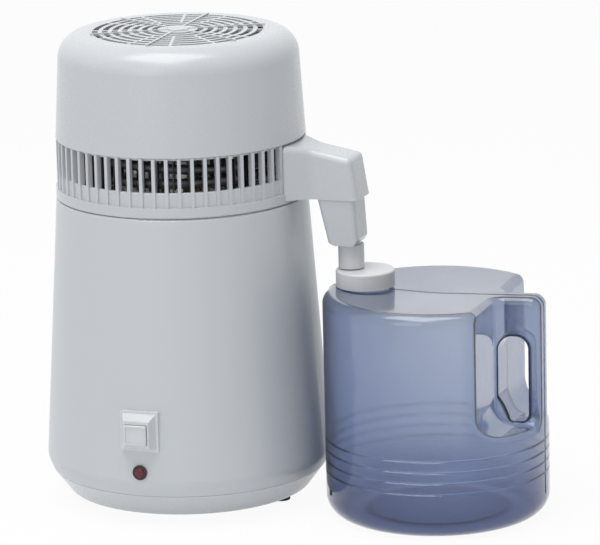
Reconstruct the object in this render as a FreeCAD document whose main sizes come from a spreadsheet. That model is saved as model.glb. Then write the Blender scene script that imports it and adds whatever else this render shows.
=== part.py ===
"""Counter-top water distiller with its collecting jug.

The origin is on the table, under the axis of the boiling pot. +Z is up, +X runs along the
spout arm to the jug, and the push button faces -Y. Lengths are in millimetres, angles in
degrees. Every driving size is a cell of the sheet "sizes".
"""
import FreeCAD, Part
import math
import os

import Sketcher

Vector = FreeCAD.Vector
UP = Vector(0, 0, 1)

SIZES = {
    # casing: a tapered shell of sheet steel, widest just above its foot
    "belly_flare": 14.3,
    "belly_height": 38,
    "belly_rounding": 16,
    "foot_tuck": 4,
    "casing_foot_height": 27.9,
    "casing_top_radius": 102.2,
    "casing_top_height": 252.5,
    "casing_wall": 1.2,
    "bracket_width": 16,
    "rim_clearance": 0.3,
    "panel_gap": 0.3,
    "seat_clearance": 0.05,
    # bottom tray
    "tray_seam": 0.3,
    "tray_floor_height": 8,
    "tray_cone_inset": 15,
    "tray_wall": 2.4,
    "lip_height": 5,
    "lip_clearance": 0.4,
    "vent_count": 18,
    "vent_bearing": 10,
    "vent_width": 4,
    "vent_start": 36,
    "vent_length": 26,
    # feet and screws
    "foot_inset": 32.5,
    "foot_bearing": -3,
    "foot_spread": 106.5,
    "front_foot_inset": 57.5,
    "front_foot_bearing": 280,
    "foot_radius": 8,
    "screw_radius": 2,
    "screw_head_radius": 4,
    "screw_head_height": 2.4,
    "screw_clearance": 0.2,
    "tray_screw_inset": 24.5,
    "tray_screw_bearing": 45,
    "foot_screw_length": 9,
    "screw_count": 4,
    "boss_radius": 5,
    "foot_boss": 3,
    # boiling pot
    "pot_rim_width": 5.2,
    "pot_wall": 0.8,
    "pot_floor_height": 100,
    "pot_corner": 12,
    "pot_rim_inset": 3,
    "pot_stud_radius": 3,
    # heater
    "spreader_inset": 26,
    "spreader_thickness": 4,
    "element_radius": 50,
    "element_tube": 4,
    "element_gap": 40,
    "cold_end_length": 12,
    "clamp_width": 14,
    "clamp_thickness": 2,
    "thermostat_radius": 8,
    "thermostat_height": 9,
    "thermostat_reach": 27,
    "heater_nut_width": 10,
    "heater_nut_height": 5,
    "shield_radius": 76,
    "shield_height": 54,
    "shield_rim": 5,
    "shield_hole": 14,
    "shield_post_reach": 66,
    "post_bearing": 0,
    "sheet_thickness": 1,
    # push button
    "button_height": 82,
    "bezel_width": 32,
    "bezel_tall": 33,
    "bezel_flange": 1.6,
    "bezel_seat": 12,
    "bezel_step": 1.9,
    "bezel_proud": 9.5,
    "bezel_side_slope": 3.2,
    "bezel_top_slope": 4.4,
    "bezel_low_slope": 3.4,
    "button_width": 18.3,
    "button_tall": 16,
    "button_drop": 0.9,
    "button_proud": 2.6,
    "button_dish": 0.9,
    "button_rim": 1.3,
    "button_gap": 0.35,
    "button_travel": 2.5,
    "sleeve_width": 26.6,
    "sleeve_depth": 9,
    "switch_depth": 20,
    "stem_size": 6,
    "stem_reach": 12,
    # pilot lamp
    "lamp_height": 48.2,
    "lamp_radius": 6,
    "lens_radius": 3.7,
    "lamp_neck_radius": 5,
    "lamp_proud": 1.4,
    "lamp_depth": 14,
    "lamp_neck": 5,
    "lens_seat": 1.6,
    # mains inlets
    "inlet_height": 66,
    "fan_inlet_lift": 38.8,
    "inlet_width": 27,
    "inlet_tall": 19.8,
    "inlet_rim": 3,
    "inlet_proud": 2.6,
    "inlet_depth": 22,
    "inlet_seat": 6,
    "socket_width": 24.4,
    "socket_tall": 16.6,
    "socket_corner": 4,
    "socket_depth": 16,
    "pin_spacing": 7,
    "pin_offset": 2,
    "pin_wide": 4,
    "pin_thick": 2,
    "pin_inset": 1.5,
    "pin_tail": 8,
    # seal and lid plate
    "seal_thickness": 3,
    "seal_lip": 5,
    "seal_lip_thickness": 1.1,
    "seal_clearance": 0.3,
    "lid_thickness": 0.8,
    "lid_step_inset": 7,
    "lid_step_height": 5,
    "stud_radius": 2,
    "stud_length": 8,
    "stud_inset": 7,
    "foot_stud_reach": 52,
    "nut_width": 7,
    "nut_height": 3.2,
    # vent ring and its arm
    "head_gap": 0.8,
    "ring_wall": 2.4,
    "band_height": 8.2,
    "panel_height": 12,
    "panel_inset": 2.6,
    "slot_height": 27.7,
    "rib_thickness": 2.8,
    "rib_depth": 4.7,
    "rib_inset": 1.2,
    "rib_count": 56,
    "rib_start_angle": 17.8,
    "arm_half_angle": 16,
    "collar_height": 1.8,
    "collar_overlap": 1.6,
    "arm_reach": 52.3,
    "arm_width": 34,
    "arm_flare_margin": 3.9,
    "arm_flare_round": 14,
    "arm_lift": 2.7,
    "arm_end_lean": 5,
    "arm_slope": 11,
    "arm_edge_round": 5,
    # upper cover and its grille
    "cover_height": 86,
    "cover_inset": 0.9,
    "cover_taper": 5,
    "cover_shoulder": 20,
    "cover_wall": 2.4,
    "cover_crown": 1.2,
    "cover_post_radius": 4.5,
    "cover_post_inset": 9.3,
    "cover_post_height": 30,
    "grille_radius": 69.5,
    "grille_rings": 7,
    "grille_first_radius": 18.7,
    "grille_pitch": 8,
    "grille_slot": 4.6,
    "grille_sectors": 12,
    "grille_bar": 2.4,
    "spoke_width": 2,
    "spoke_rise": 0.7,
    "hub_radius": 9,
    # condenser
    "coil_inset": 21.2,
    "coil_tube": 4,
    "coil_bore": 3.3,
    "coil_pitch": 17.6,
    "tube_clearance": 0.1,
    "coil_turns": 3,
    "coil_lift": 18.9,
    "riser_x": 22,
    "riser_bend": 14,
    "entry_bend": 30,
    "exit_angle": 15,
    "down_bend": 14,
    "down_inset": 16.1,
    "fin_count": 36,
    "fin_gap_angle": 32,
    "fin_thickness": 0.6,
    "fin_inward": 12,
    "fin_outward": 11,
    "fin_margin": 7,
    "fitting_width": 17,
    "fitting_height": 9,
    # fan
    "motor_radius": 29,
    "motor_height": 32,
    "motor_lift": 48.9,
    "leg_reach": 46,
    "leg_width": 12,
    "bracket_thickness": 1.5,
    "shaft_radius": 3,
    "shaft_clearance": 0.05,
    "blade_count": 5,
    "blade_reach": 62,
    "blade_width": 34,
    "blade_root_width": 18,
    "blade_root_pitch": 36,
    "blade_tip_pitch": 22,
    "blade_thickness": 1.4,
    "fan_hub_radius": 11,
    "fan_hub_height": 11,
    "fan_lift": 14,
    # filter cup and outlet
    "spout_inset": 7.7,
    "cup_length": 31,
    "cup_side_inset": 1,
    "cup_depth": 38,
    "cup_inner_slope": 8.5,
    "cup_outer_slope": 2.8,
    "cup_side_slope": 1.2,
    "cup_wall": 2,
    "cup_chamfer": 5,
    "cup_neck": 7,
    "cup_neck_gap": 0.3,
    "sachet_gap": 0.4,
    "sachet_height": 20,
    "spigot_radius": 7.8,
    "spigot_bore": 5,
    "spigot_length": 14,
    "sleeve_outer_radius": 10.5,
    "sleeve_bore_radius": 8,
    "sleeve_length": 19.3,
    "sleeve_gap": 0.5,
    # jug
    "fill_offset": 11.5,
    "jug_radius": 90.4,
    "spout_gap": 1,
    "jug_wall": 2,
    "jug_bottom_round": 17,
    "jug_top_round": 9,
    "jug_dish": 3,
    "jug_foot_lift": 2,
    "jug_foot_inset": 14,
    "pocket_depth": 36.4,
    "pocket_floor": 79,
    "pocket_round": 19,
    "pocket_corner": 8,
    "pocket_edge": 6,
    "handle_thickness": 24,
    "finger_round": 10,
    "finger_low_round": 5,
    "finger_edge": 4,
    "grip_depth": 11,
    "finger_lift": 3,
    "finger_drop": 33,
    "finger_slant": 20,
    "ridge_height": 0.5,
    "ridge_width": 1.4,
    "ridge_foot": 20,
    "ring_count": 4,
    "ring_low_height": 38,
    "ring_spacing": 9,
    "ring_depth": 0.8,
    "neck_inset": 32.1,
    "neck_radius": 20.6,
    "neck_wall": 2,
    # cap
    "cap_radius": 23.8,
    "cap_height": 13.4,
    "cap_gap": 0.4,
    "cap_wall": 1.8,
    "cap_edge_round": 1.6,
    "cap_clearance": 1.2,
    "fill_hole_radius": 6,
}


class Size:
    """A length or an angle: its number, and the formula that ties it to the sheet."""

    def __init__(self, number, formula=None):
        self.number = float(number)
        self.formula = formula or f"({self.number!r})"

    def __add__(self, other):
        other = size(other)
        return Size(self.number + other.number, f"({self.formula} + {other.formula})")

    def __sub__(self, other):
        other = size(other)
        return Size(self.number - other.number, f"({self.formula} - {other.formula})")

    def __mul__(self, other):
        other = size(other)
        return Size(self.number * other.number, f"({self.formula} * {other.formula})")

    def __truediv__(self, other):
        other = size(other)
        return Size(self.number / other.number, f"({self.formula} / {other.formula})")

    def __radd__(self, other):
        return size(other) + self

    def __rsub__(self, other):
        return size(other) - self

    def __rmul__(self, other):
        return size(other) * self

    def __rtruediv__(self, other):
        return size(other) / self

    def __neg__(self):
        return 0 - self

    def __float__(self):
        return self.number


def size(value):
    """The value as a Size, whether it is one already or a plain number."""
    return value if isinstance(value, Size) else Size(value)


def sine(angle):
    """Sine of an angle in degrees."""
    angle = size(angle)
    return Size(math.sin(math.radians(angle.number)), f"sin({angle.formula})")


def cosine(angle):
    """Cosine of an angle in degrees."""
    angle = size(angle)
    return Size(math.cos(math.radians(angle.number)), f"cos({angle.formula})")


def root(value):
    """Square root of a size."""
    value = size(value)
    return Size(math.sqrt(value.number), f"sqrt({value.formula})")


class Sheet:
    """The sizes of the sheet, read by name."""

    def __init__(self, document):
        cells = document.addObject("Spreadsheet::Sheet", "sizes")
        for row, (name, number) in enumerate(SIZES.items(), start=1):
            cells.set(f"A{row}", name)
            cells.set(f"B{row}", str(number))
            cells.setAlias(f"B{row}", name)
        document.recompute()
        self.cells = cells

    def __getattr__(self, name):
        return Size(self.cells.get(name), f"sizes.{name}")


doc = FreeCAD.newDocument("water_distiller")
at = Sheet(doc)
made = {}


# ---------------------------------------------------------------- drawing and feature helpers

def bind(thing, slot, value):
    """Ties a property or a named constraint to the sheet."""
    thing.setExpression(slot, size(value).formula)


def new_body(label):
    """An empty body that carries one piece."""
    body = doc.addObject("PartDesign::Body", label)
    body.Label = label
    return body


def origin_part(body, role):
    """One of the body's own origin planes or axes."""
    return next(item for item in body.Origin.OriginFeatures if item.Role == role)


def sketch_on(body, plane, lift=0.0):
    """An empty sketch on an origin plane, moved along the plane's normal."""
    drawing = body.newObject("Sketcher::SketchObject", body.Name + "_sketch")
    drawing.AttachmentSupport = [(origin_part(body, plane), "")]
    drawing.MapMode = "FlatFace"
    bind(drawing, "AttachmentOffset.Base.z", lift)
    return drawing


def set_constraint(drawing, constraint, value):
    """Adds a dimension to a sketch and ties it to the sheet."""
    place = drawing.addConstraint(constraint)
    name = f"size_{place}"
    drawing.renameConstraint(place, name)
    bind(drawing, f"Constraints.{name}", value)


def pin_point(drawing, curve, end, x, y):
    """Holds one point of a sketch at x, y."""
    x = size(x)
    y = size(y)
    if x.formula == "(0.0)":
        drawing.addConstraint(Sketcher.Constraint("PointOnObject", curve, end, -2))
    else:
        rule = Sketcher.Constraint("DistanceX", -1, 1, curve, end, x.number)
        set_constraint(drawing, rule, x)
    if y.formula == "(0.0)":
        drawing.addConstraint(Sketcher.Constraint("PointOnObject", curve, end, -1))
    else:
        rule = Sketcher.Constraint("DistanceY", -1, 1, curve, end, y.number)
        set_constraint(drawing, rule, y)


def rounding_of(before, corner, after, radius):
    """Tangent points, centre and turn of the arc that rounds a corner."""
    back = (before - corner).normalize()
    ahead = (after - corner).normalize()
    half = back.getAngle(ahead) / 2
    reach = radius / math.tan(half)
    start = corner + back * reach
    end = corner + ahead * reach
    centre = corner + (back + ahead).normalize() * (radius / math.sin(half))
    turns_left = (corner - before).cross(after - corner).z > 0
    return start, end, centre, turns_left


def outline(drawing, corners):
    """Draws a closed outline through corners (x, y) or (x, y, rounding radius)."""
    places = [Vector(float(corner[0]), float(corner[1]), 0) for corner in corners]
    count = len(corners)
    starts = list(places)
    ends = list(places)
    arcs = {}
    for index, corner in enumerate(corners):
        if len(corner) == 3:
            before = places[index - 1]
            after = places[(index + 1) % count]
            arcs[index] = rounding_of(before, places[index], after, float(corner[2]))
            ends[index] = arcs[index][0]
            starts[index] = arcs[index][1]
    lines = [
        drawing.addGeometry(Part.LineSegment(starts[index], ends[(index + 1) % count]))
        for index in range(count)
    ]
    for index, corner in enumerate(corners):
        line_in = lines[index - 1]
        line_out = lines[index]
        if index not in arcs:
            drawing.addConstraint(Sketcher.Constraint("Coincident", line_in, 2, line_out, 1))
            pin_point(drawing, line_out, 1, corner[0], corner[1])
            continue
        start, end, centre, turns_left = arcs[index]
        first, last = (start, end) if turns_left else (end, start)
        from_angle = math.atan2(first.y - centre.y, first.x - centre.x)
        to_angle = math.atan2(last.y - centre.y, last.x - centre.x)
        circle = Part.Circle(centre, UP, float(corner[2]))
        arc = drawing.addGeometry(Part.ArcOfCircle(circle, from_angle, to_angle))
        begin, finish = (1, 2) if turns_left else (2, 1)
        tip = drawing.addGeometry(Part.Point(places[index]), True)
        drawing.addConstraint(Sketcher.Constraint("Tangent", line_in, 2, arc, begin))
        drawing.addConstraint(Sketcher.Constraint("Tangent", arc, finish, line_out, 1))
        drawing.addConstraint(Sketcher.Constraint("PointOnObject", tip, 1, line_in))
        drawing.addConstraint(Sketcher.Constraint("PointOnObject", tip, 1, line_out))
        pin_point(drawing, tip, 1, corner[0], corner[1])
        rule = Sketcher.Constraint("Radius", arc, float(corner[2]))
        set_constraint(drawing, rule, corner[2])


def round_outline(drawing, x, y, radius):
    """Draws a circle."""
    centre = Vector(float(x), float(y), 0)
    circle = drawing.addGeometry(Part.Circle(centre, UP, float(radius)))
    pin_point(drawing, circle, 3, x, y)
    set_constraint(drawing, Sketcher.Constraint("Radius", circle, float(radius)), radius)


def rectangle(x_low, y_low, x_high, y_high, rounding=None):
    """Corners of an upright rectangle."""
    corners = [(x_low, y_low), (x_high, y_low), (x_high, y_high), (x_low, y_high)]
    if rounding is None:
        return corners
    return [corner + (rounding,) for corner in corners]


def polygon(count, across_flats, x=0.0, y=0.0):
    """Corners of a regular polygon, such as a nut's."""
    reach = size(across_flats) / (2 * math.cos(math.pi / count))
    corners = []
    for step in range(count):
        turn = 2 * math.pi * (step + 0.5) / count
        corners.append((x + reach * math.cos(turn), y + reach * math.sin(turn)))
    return corners


def turned(body, corners, kind="PartDesign::Revolution"):
    """Revolves an outline of (radius, height) corners about the body's Z axis."""
    drawing = sketch_on(body, "XZ_Plane")
    outline(drawing, corners)
    feature = body.newObject(kind, body.Name + "_turned")
    feature.Profile = drawing
    feature.ReferenceAxis = (drawing, ["V_Axis"])
    feature.Angle = 360
    return feature


def groove(body, corners):
    """Cuts an outline of (radius, height) corners all the way round the body's Z axis."""
    return turned(body, corners, "PartDesign::Groove")


def extruded(kind, body, plane, low, length, draw, backwards=False):
    """Pads or pockets a sketch that starts at low and runs along its plane's normal."""
    drawing = sketch_on(body, plane, low)
    draw(drawing)
    feature = body.newObject(kind, body.Name + "_" + kind.split("::")[1].lower())
    feature.Profile = drawing
    feature.Type = "Length"
    bind(feature, "Length", length)
    feature.Reversed = backwards
    return feature


def padded(body, plane, low, length, corners):
    """Adds a prism from low to low + length along the plane's normal."""
    def draw(drawing):
        outline(drawing, corners)
    return extruded("PartDesign::Pad", body, plane, low, length, draw)


def padded_round(body, plane, low, length, x, y, radius):
    """Adds a cylinder from low to low + length along the plane's normal."""
    def draw(drawing):
        round_outline(drawing, x, y, radius)
    return extruded("PartDesign::Pad", body, plane, low, length, draw)


def pocketed(body, plane, low, length, corners):
    """Cuts a prism from low to low + length along the plane's normal."""
    def draw(drawing):
        outline(drawing, corners)
    return extruded("PartDesign::Pocket", body, plane, low, length, draw, True)


def pocketed_round(body, plane, low, length, x, y, radius):
    """Cuts a cylinder from low to low + length along the plane's normal."""
    def draw(drawing):
        round_outline(drawing, x, y, radius)
    return extruded("PartDesign::Pocket", body, plane, low, length, draw, True)


def around(body, features, count, angle=360.0):
    """Repeats features about the body's Z axis."""
    pattern = body.newObject("PartDesign::PolarPattern", body.Name + "_pattern")
    pattern.Originals = features
    pattern.Axis = (origin_part(body, "Z_Axis"), [""])
    bind(pattern, "Angle", angle)
    bind(pattern, "Occurrences", count)
    body.Tip = pattern
    return pattern


def chosen_edges(feature, test):
    """Names of the feature's edges whose middle passes the test."""
    names = []
    for number, edge in enumerate(feature.Shape.Edges, start=1):
        middle = edge.valueAt((edge.FirstParameter + edge.LastParameter) / 2)
        if test(edge, middle):
            names.append(f"Edge{number}")
    return names


def dressed(kind, body, feature, slot, amount, test):
    """Fillets or chamfers the chosen edges of a feature."""
    doc.recompute()
    finish = body.newObject(kind, body.Name + "_" + kind.split("::")[1].lower())
    finish.Base = (feature, chosen_edges(feature, test))
    bind(finish, slot, amount)
    return finish


def filleted(body, feature, radius, test):
    """Rounds the chosen edges."""
    return dressed("PartDesign::Fillet", body, feature, "Radius", radius, test)


def place(thing, x=0.0, y=0.0, z=0.0):
    """Moves an object to x, y, z."""
    bind(thing, "Placement.Base.x", x)
    bind(thing, "Placement.Base.y", y)
    bind(thing, "Placement.Base.z", z)


def keep(thing, label):
    """Marks an object as a finished piece."""
    thing.Label = label
    made[label] = thing
    return thing


def group(label, prototype, spots):
    """One piece made of equal solids: copies of a prototype, each moved by its spot."""
    doc.recompute()
    copies = [prototype.Shape.copy() for _ in spots]
    for copy, spot in zip(copies, spots):
        copy.Placement = spot.multiply(copy.Placement)
    feature = doc.addObject("Part::Feature", label)
    feature.Shape = Part.makeCompound(copies)
    feature.Placement = FreeCAD.Placement()
    return keep(feature, label)


def spot(x, y, z, turn=0.0):
    """A place for a copy: a point, and a turn about Z in degrees."""
    return FreeCAD.Placement(Vector(float(x), float(y), float(z)), FreeCAD.Rotation(UP, turn))


def spots_round(reach, height, bearings):
    """Places on a circle about the Z axis, each turned to face outwards."""
    places = []
    for bearing in bearings:
        turn = math.radians(bearing)
        x = float(reach) * math.cos(turn)
        y = float(reach) * math.sin(turn)
        places.append(spot(x, y, height, bearing))
    return places


# ---------------------------------------------------------------- sizes that follow from others

belly_radius = at.casing_top_radius + at.belly_flare
casing_foot_radius = belly_radius - at.foot_tuck
casing_taper = at.belly_flare / (at.casing_top_height - at.belly_height)
casing_inner_foot = casing_foot_radius - at.casing_wall
tray_top = at.casing_foot_height - at.tray_seam
tray_floor_top = at.tray_floor_height + at.tray_wall
tray_floor_radius = casing_foot_radius - at.tray_cone_inset
tray_screw_reach = casing_foot_radius - at.tray_screw_inset
tray_screw_x = tray_screw_reach * cosine(at.tray_screw_bearing)
tray_screw_y = tray_screw_reach * sine(at.tray_screw_bearing)
tray_screw_seat = at.tray_floor_height + at.screw_head_height + 0.4
foot_reach = casing_foot_radius - at.foot_inset
front_foot_reach = casing_foot_radius - at.front_foot_inset
bracket_height = tray_top + at.lip_height + 1
button_middle = at.button_height - at.button_drop

pot_rim_radius = at.casing_top_radius - at.pot_rim_inset
pot_radius = pot_rim_radius - at.pot_rim_width
pot_outer_radius = pot_radius + at.pot_wall
pot_bottom = at.pot_floor_height - at.pot_wall
rim_top = at.casing_top_height + at.pot_wall
spreader_radius = pot_radius - at.spreader_inset
spreader_bottom = pot_bottom - at.spreader_thickness
element_height = spreader_bottom - at.element_tube - 0.05
clamp_top = element_height - at.element_tube - 0.05
nut_bottom = clamp_top - at.clamp_thickness - at.heater_nut_height - 1

seal_top = rim_top + at.seal_thickness
lid_top = seal_top + at.lid_thickness
lid_step_radius = pot_radius - at.lid_step_inset
stud_reach = pot_rim_radius - at.stud_inset
seat_radius = pot_rim_radius + at.seal_clearance
head_bottom = at.casing_top_height + at.head_gap
band_top = head_bottom + at.band_height
panel_top = band_top + at.panel_height
cover_bottom = panel_top + at.slot_height
cover_top = cover_bottom + at.cover_height
ring_radius = at.casing_top_radius
panel_radius = ring_radius - at.panel_inset
panel_inner_radius = panel_radius - at.ring_wall
rib_outer_radius = ring_radius - at.rib_inset
cover_lower_radius = ring_radius - at.cover_inset
cover_upper_radius = cover_lower_radius - at.cover_taper
cover_post_reach = cover_lower_radius - at.cover_post_inset
collar_inner = cover_post_reach - at.screw_radius - 2

arm_length = ring_radius + at.arm_reach
arm_bottom_height = head_bottom + at.arm_lift
arm_top_height = cover_bottom - 0.2
arm_cavity_end = arm_length - at.arm_end_lean - at.ring_wall - 0.2
cup_outer_x = arm_length - at.ring_wall - 1.2
cup_inner_x = cup_outer_x - at.cup_length
cup_neck_start = cup_inner_x + at.cup_wall
cup_neck_top = arm_bottom_height + at.cup_neck
cup_bottom = arm_bottom_height - at.cup_depth
cup_width = at.arm_width - 2 * at.cup_side_inset
arm_flare_start = cup_inner_x - at.arm_flare_margin
spout_reach = cup_outer_x - at.spout_inset
sleeve_bottom = cup_bottom - at.sleeve_gap - at.sleeve_length

coil_radius = panel_inner_radius - at.coil_inset
coil_low_height = lid_top + at.coil_lift
coil_top_height = coil_low_height + at.coil_pitch * (at.coil_turns - 0.5)
down_reach = cup_inner_x + at.down_inset
fin_inner_radius = coil_radius - at.fin_inward
fin_outer_radius = coil_radius + at.fin_outward
motor_low_height = lid_top + at.motor_lift
fan_height = motor_low_height + at.motor_height + at.fan_lift
fan_inlet_height = cover_bottom + at.fan_inlet_lift

jug_height = sleeve_bottom - at.spout_gap - at.cap_height - at.cap_gap
neck_offset = at.jug_radius - at.neck_inset
jug_distance = spout_reach + at.fill_offset + neck_offset
pocket_reach = at.jug_radius - at.pocket_depth
finger_low = at.pocket_floor + at.finger_lift
finger_high = jug_height - at.finger_drop
cap_bottom = jug_height + at.cap_gap
cap_top = cap_bottom + at.cap_height

element_bearing = 90
screw_bearings = (45, 135, 225, 315)


def casing_radius(height):
    """Outer radius of the casing's straight flank at a height."""
    return belly_radius - casing_taper * (height - at.belly_height)


def seated(radius):
    """Radius of a face that seats on a round shell with a hair of clearance."""
    return radius + at.seat_clearance


# ---------------------------------------------------------------- base

def trim_to_casing(body, low, high):
    """Cuts away what lies inside the casing's outer surface between two heights."""
    core = pot_radius - 30
    return groove(body, [
        (core, low),
        (seated(casing_radius(low)), low),
        (seated(casing_radius(high)), high),
        (core, high),
    ])


def make_outer_casing():
    """Tapered shell with a turned-in rim that carries the pot, and the panel cut-outs."""
    body = new_body("outer_casing")
    wall = at.casing_wall
    turned(body, [
        (casing_foot_radius, at.casing_foot_height),
        (belly_radius, at.belly_height, at.belly_rounding),
        (at.casing_top_radius, at.casing_top_height, 1.6),
        (pot_outer_radius + at.rim_clearance, at.casing_top_height),
        (pot_outer_radius + at.rim_clearance, at.casing_top_height - wall),
        (at.casing_top_radius - wall, at.casing_top_height - wall),
        (belly_radius - wall, at.belly_height, at.belly_rounding),
        (casing_inner_foot, at.casing_foot_height),
    ])
    span = belly_radius - pot_radius
    half = at.sleeve_width / 2 + at.panel_gap
    pocketed(body, "XZ_Plane", pot_radius, span, rectangle(
        -half, at.button_height - half, half, at.button_height + half))
    pocketed_round(body, "XZ_Plane", pot_radius, span,
                   0.0, at.lamp_height, at.lamp_neck_radius + at.panel_gap)
    half_wide = at.inlet_width / 2 + at.panel_gap
    half_tall = at.inlet_tall / 2 + at.panel_gap
    pocketed(body, "XZ_Plane", -belly_radius, span, rectangle(
        -half_wide, at.inlet_height - half_tall, half_wide, at.inlet_height + half_tall))
    flare = (belly_radius - casing_foot_radius) / (at.belly_height - at.casing_foot_height)
    inner_wall = casing_inner_foot + flare * (bracket_height - at.casing_foot_height) + wall / 3
    bracket = padded(body, "XY_Plane", bracket_height, wall, radial_box(
        at.tray_screw_bearing, tray_screw_reach - at.bracket_width / 2,
        inner_wall, at.bracket_width))
    hole = pocketed_round(body, "XY_Plane", bracket_height - 1, wall + 2,
                          tray_screw_x, tray_screw_y, at.screw_radius + at.screw_clearance)
    around(body, [bracket, hole], at.screw_count)
    keep(body, "outer_casing")


def make_base_tray():
    """Moulded tray: coned flank, vented floor, lip inside the casing, bosses and posts."""
    body = new_body("base_tray")
    wall = at.tray_wall
    lip = casing_inner_foot - at.lip_clearance
    turned(body, [
        (0.0, at.tray_floor_height),
        (tray_floor_radius, at.tray_floor_height, 7),
        (casing_foot_radius - at.tray_seam, tray_top),
        (lip, tray_top),
        (lip, tray_top + at.lip_height),
        (lip - wall, tray_top + at.lip_height),
        (lip - wall, tray_top - at.lip_clearance),
        (tray_floor_radius - wall / 2, tray_floor_top, 4),
        (0.0, tray_floor_top),
    ])
    vent = pocketed(body, "XY_Plane", 0.0, tray_floor_top + 1, radial_box(
        at.vent_bearing, at.vent_start, at.vent_start + at.vent_length, at.vent_width))
    around(body, [vent], at.vent_count)
    boss = padded_round(body, "XY_Plane", tray_floor_top - wall / 2,
                        bracket_height - tray_floor_top + wall / 2,
                        tray_screw_x, tray_screw_y, at.boss_radius)
    bore = pocketed_round(body, "XY_Plane", 0.0, bracket_height + 1,
                          tray_screw_x, tray_screw_y, at.screw_radius + at.screw_clearance)
    sink = pocketed_round(body, "XY_Plane", 0.0, tray_screw_seat,
                          tray_screw_x, tray_screw_y, at.screw_head_radius + at.screw_clearance)
    around(body, [boss, bore, sink], at.screw_count)
    for x, y in foot_places():
        padded_round(body, "XY_Plane", tray_floor_top - wall / 2, at.foot_boss + wall / 2,
                     x, y, at.boss_radius)
        pocketed_round(body, "XY_Plane", 0.0, tray_floor_top + at.foot_boss + 1,
                       x, y, at.screw_radius + at.screw_clearance)
    for x, y in shield_places():
        padded_round(body, "XY_Plane", tray_floor_top - wall / 2,
                     at.shield_height - tray_floor_top + wall / 2, x, y, at.boss_radius)
    keep(body, "base_tray")


def foot_places():
    """Middles of the four feet; the front one is set further in than the others."""
    spots = [(at.foot_bearing + at.foot_spread * step, foot_reach) for step in range(3)]
    spots.append((at.front_foot_bearing, front_foot_reach))
    return [(reach * cosine(bearing), reach * sine(bearing)) for bearing, reach in spots]


def shield_places():
    """Middles of the three posts under the heat shield."""
    places = []
    for step in range(3):
        bearing = at.post_bearing + 120 * step
        places.append((at.shield_post_reach * cosine(bearing),
                       at.shield_post_reach * sine(bearing)))
    return places


def make_screw(name, length):
    """Pan-head screw that points up, with its seat at z = 0."""
    body = new_body(name)
    head = at.screw_head_radius
    turned(body, [
        (0.0, -at.screw_head_height),
        (head, -at.screw_head_height, 1),
        (head, 0.0),
        (at.screw_radius, 0.0),
        (at.screw_radius, length),
        (0.0, length),
    ])
    pocketed(body, "XY_Plane", -at.screw_head_height, 1, rectangle(
        -head * 0.6, -0.5, head * 0.6, 0.5))
    return body


def make_nut(name, across, bore, height):
    """Hexagon nut with its seat at z = 0."""
    body = new_body(name)
    padded(body, "XY_Plane", 0.0, height, polygon(6, across))
    pocketed_round(body, "XY_Plane", -1, height + 2, 0.0, 0.0, bore)
    return body


def make_feet():
    """Four rubber feet, and the screws that hold them."""
    foot = new_body("foot")
    height = at.tray_floor_height
    sink = at.screw_head_radius + at.screw_clearance
    turned(foot, [
        (sink, 0.0),
        (at.foot_radius - 0.6, 0.0, 0.8),
        (at.foot_radius, height),
        (at.screw_radius + at.screw_clearance, height),
        (at.screw_radius + at.screw_clearance, height / 2),
        (sink, height / 2),
    ])
    spots = [spot(x, y, 0) for x, y in foot_places()]
    group("rubber_feet", foot, spots)
    screw = make_screw("foot_screw", at.foot_screw_length)
    spots = [spot(x, y, height / 2, 30) for x, y in foot_places()]
    group("foot_screws", screw, spots)
    screw = make_screw("tray_screw", bracket_height - tray_screw_seat + 5)
    group("tray_screws", screw, spots_round(tray_screw_reach, tray_screw_seat, screw_bearings))


def make_boiling_chamber():
    """Spun pot with a rounded floor, a flat rim on the casing, and the heater's stud."""
    body = new_body("boiling_chamber")
    wall = at.pot_wall
    turned(body, [
        (0.0, pot_bottom),
        (pot_outer_radius, pot_bottom, at.pot_corner + wall),
        (pot_outer_radius, at.casing_top_height),
        (pot_rim_radius, at.casing_top_height),
        (pot_rim_radius, rim_top),
        (pot_radius, rim_top),
        (pot_radius, at.pot_floor_height, at.pot_corner),
        (0.0, at.pot_floor_height),
    ])
    length = pot_bottom - nut_bottom + 1
    padded_round(body, "XY_Plane", pot_bottom - length, length, 0.0, 0.0, at.pot_stud_radius)
    keep(body, "boiling_chamber")


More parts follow.
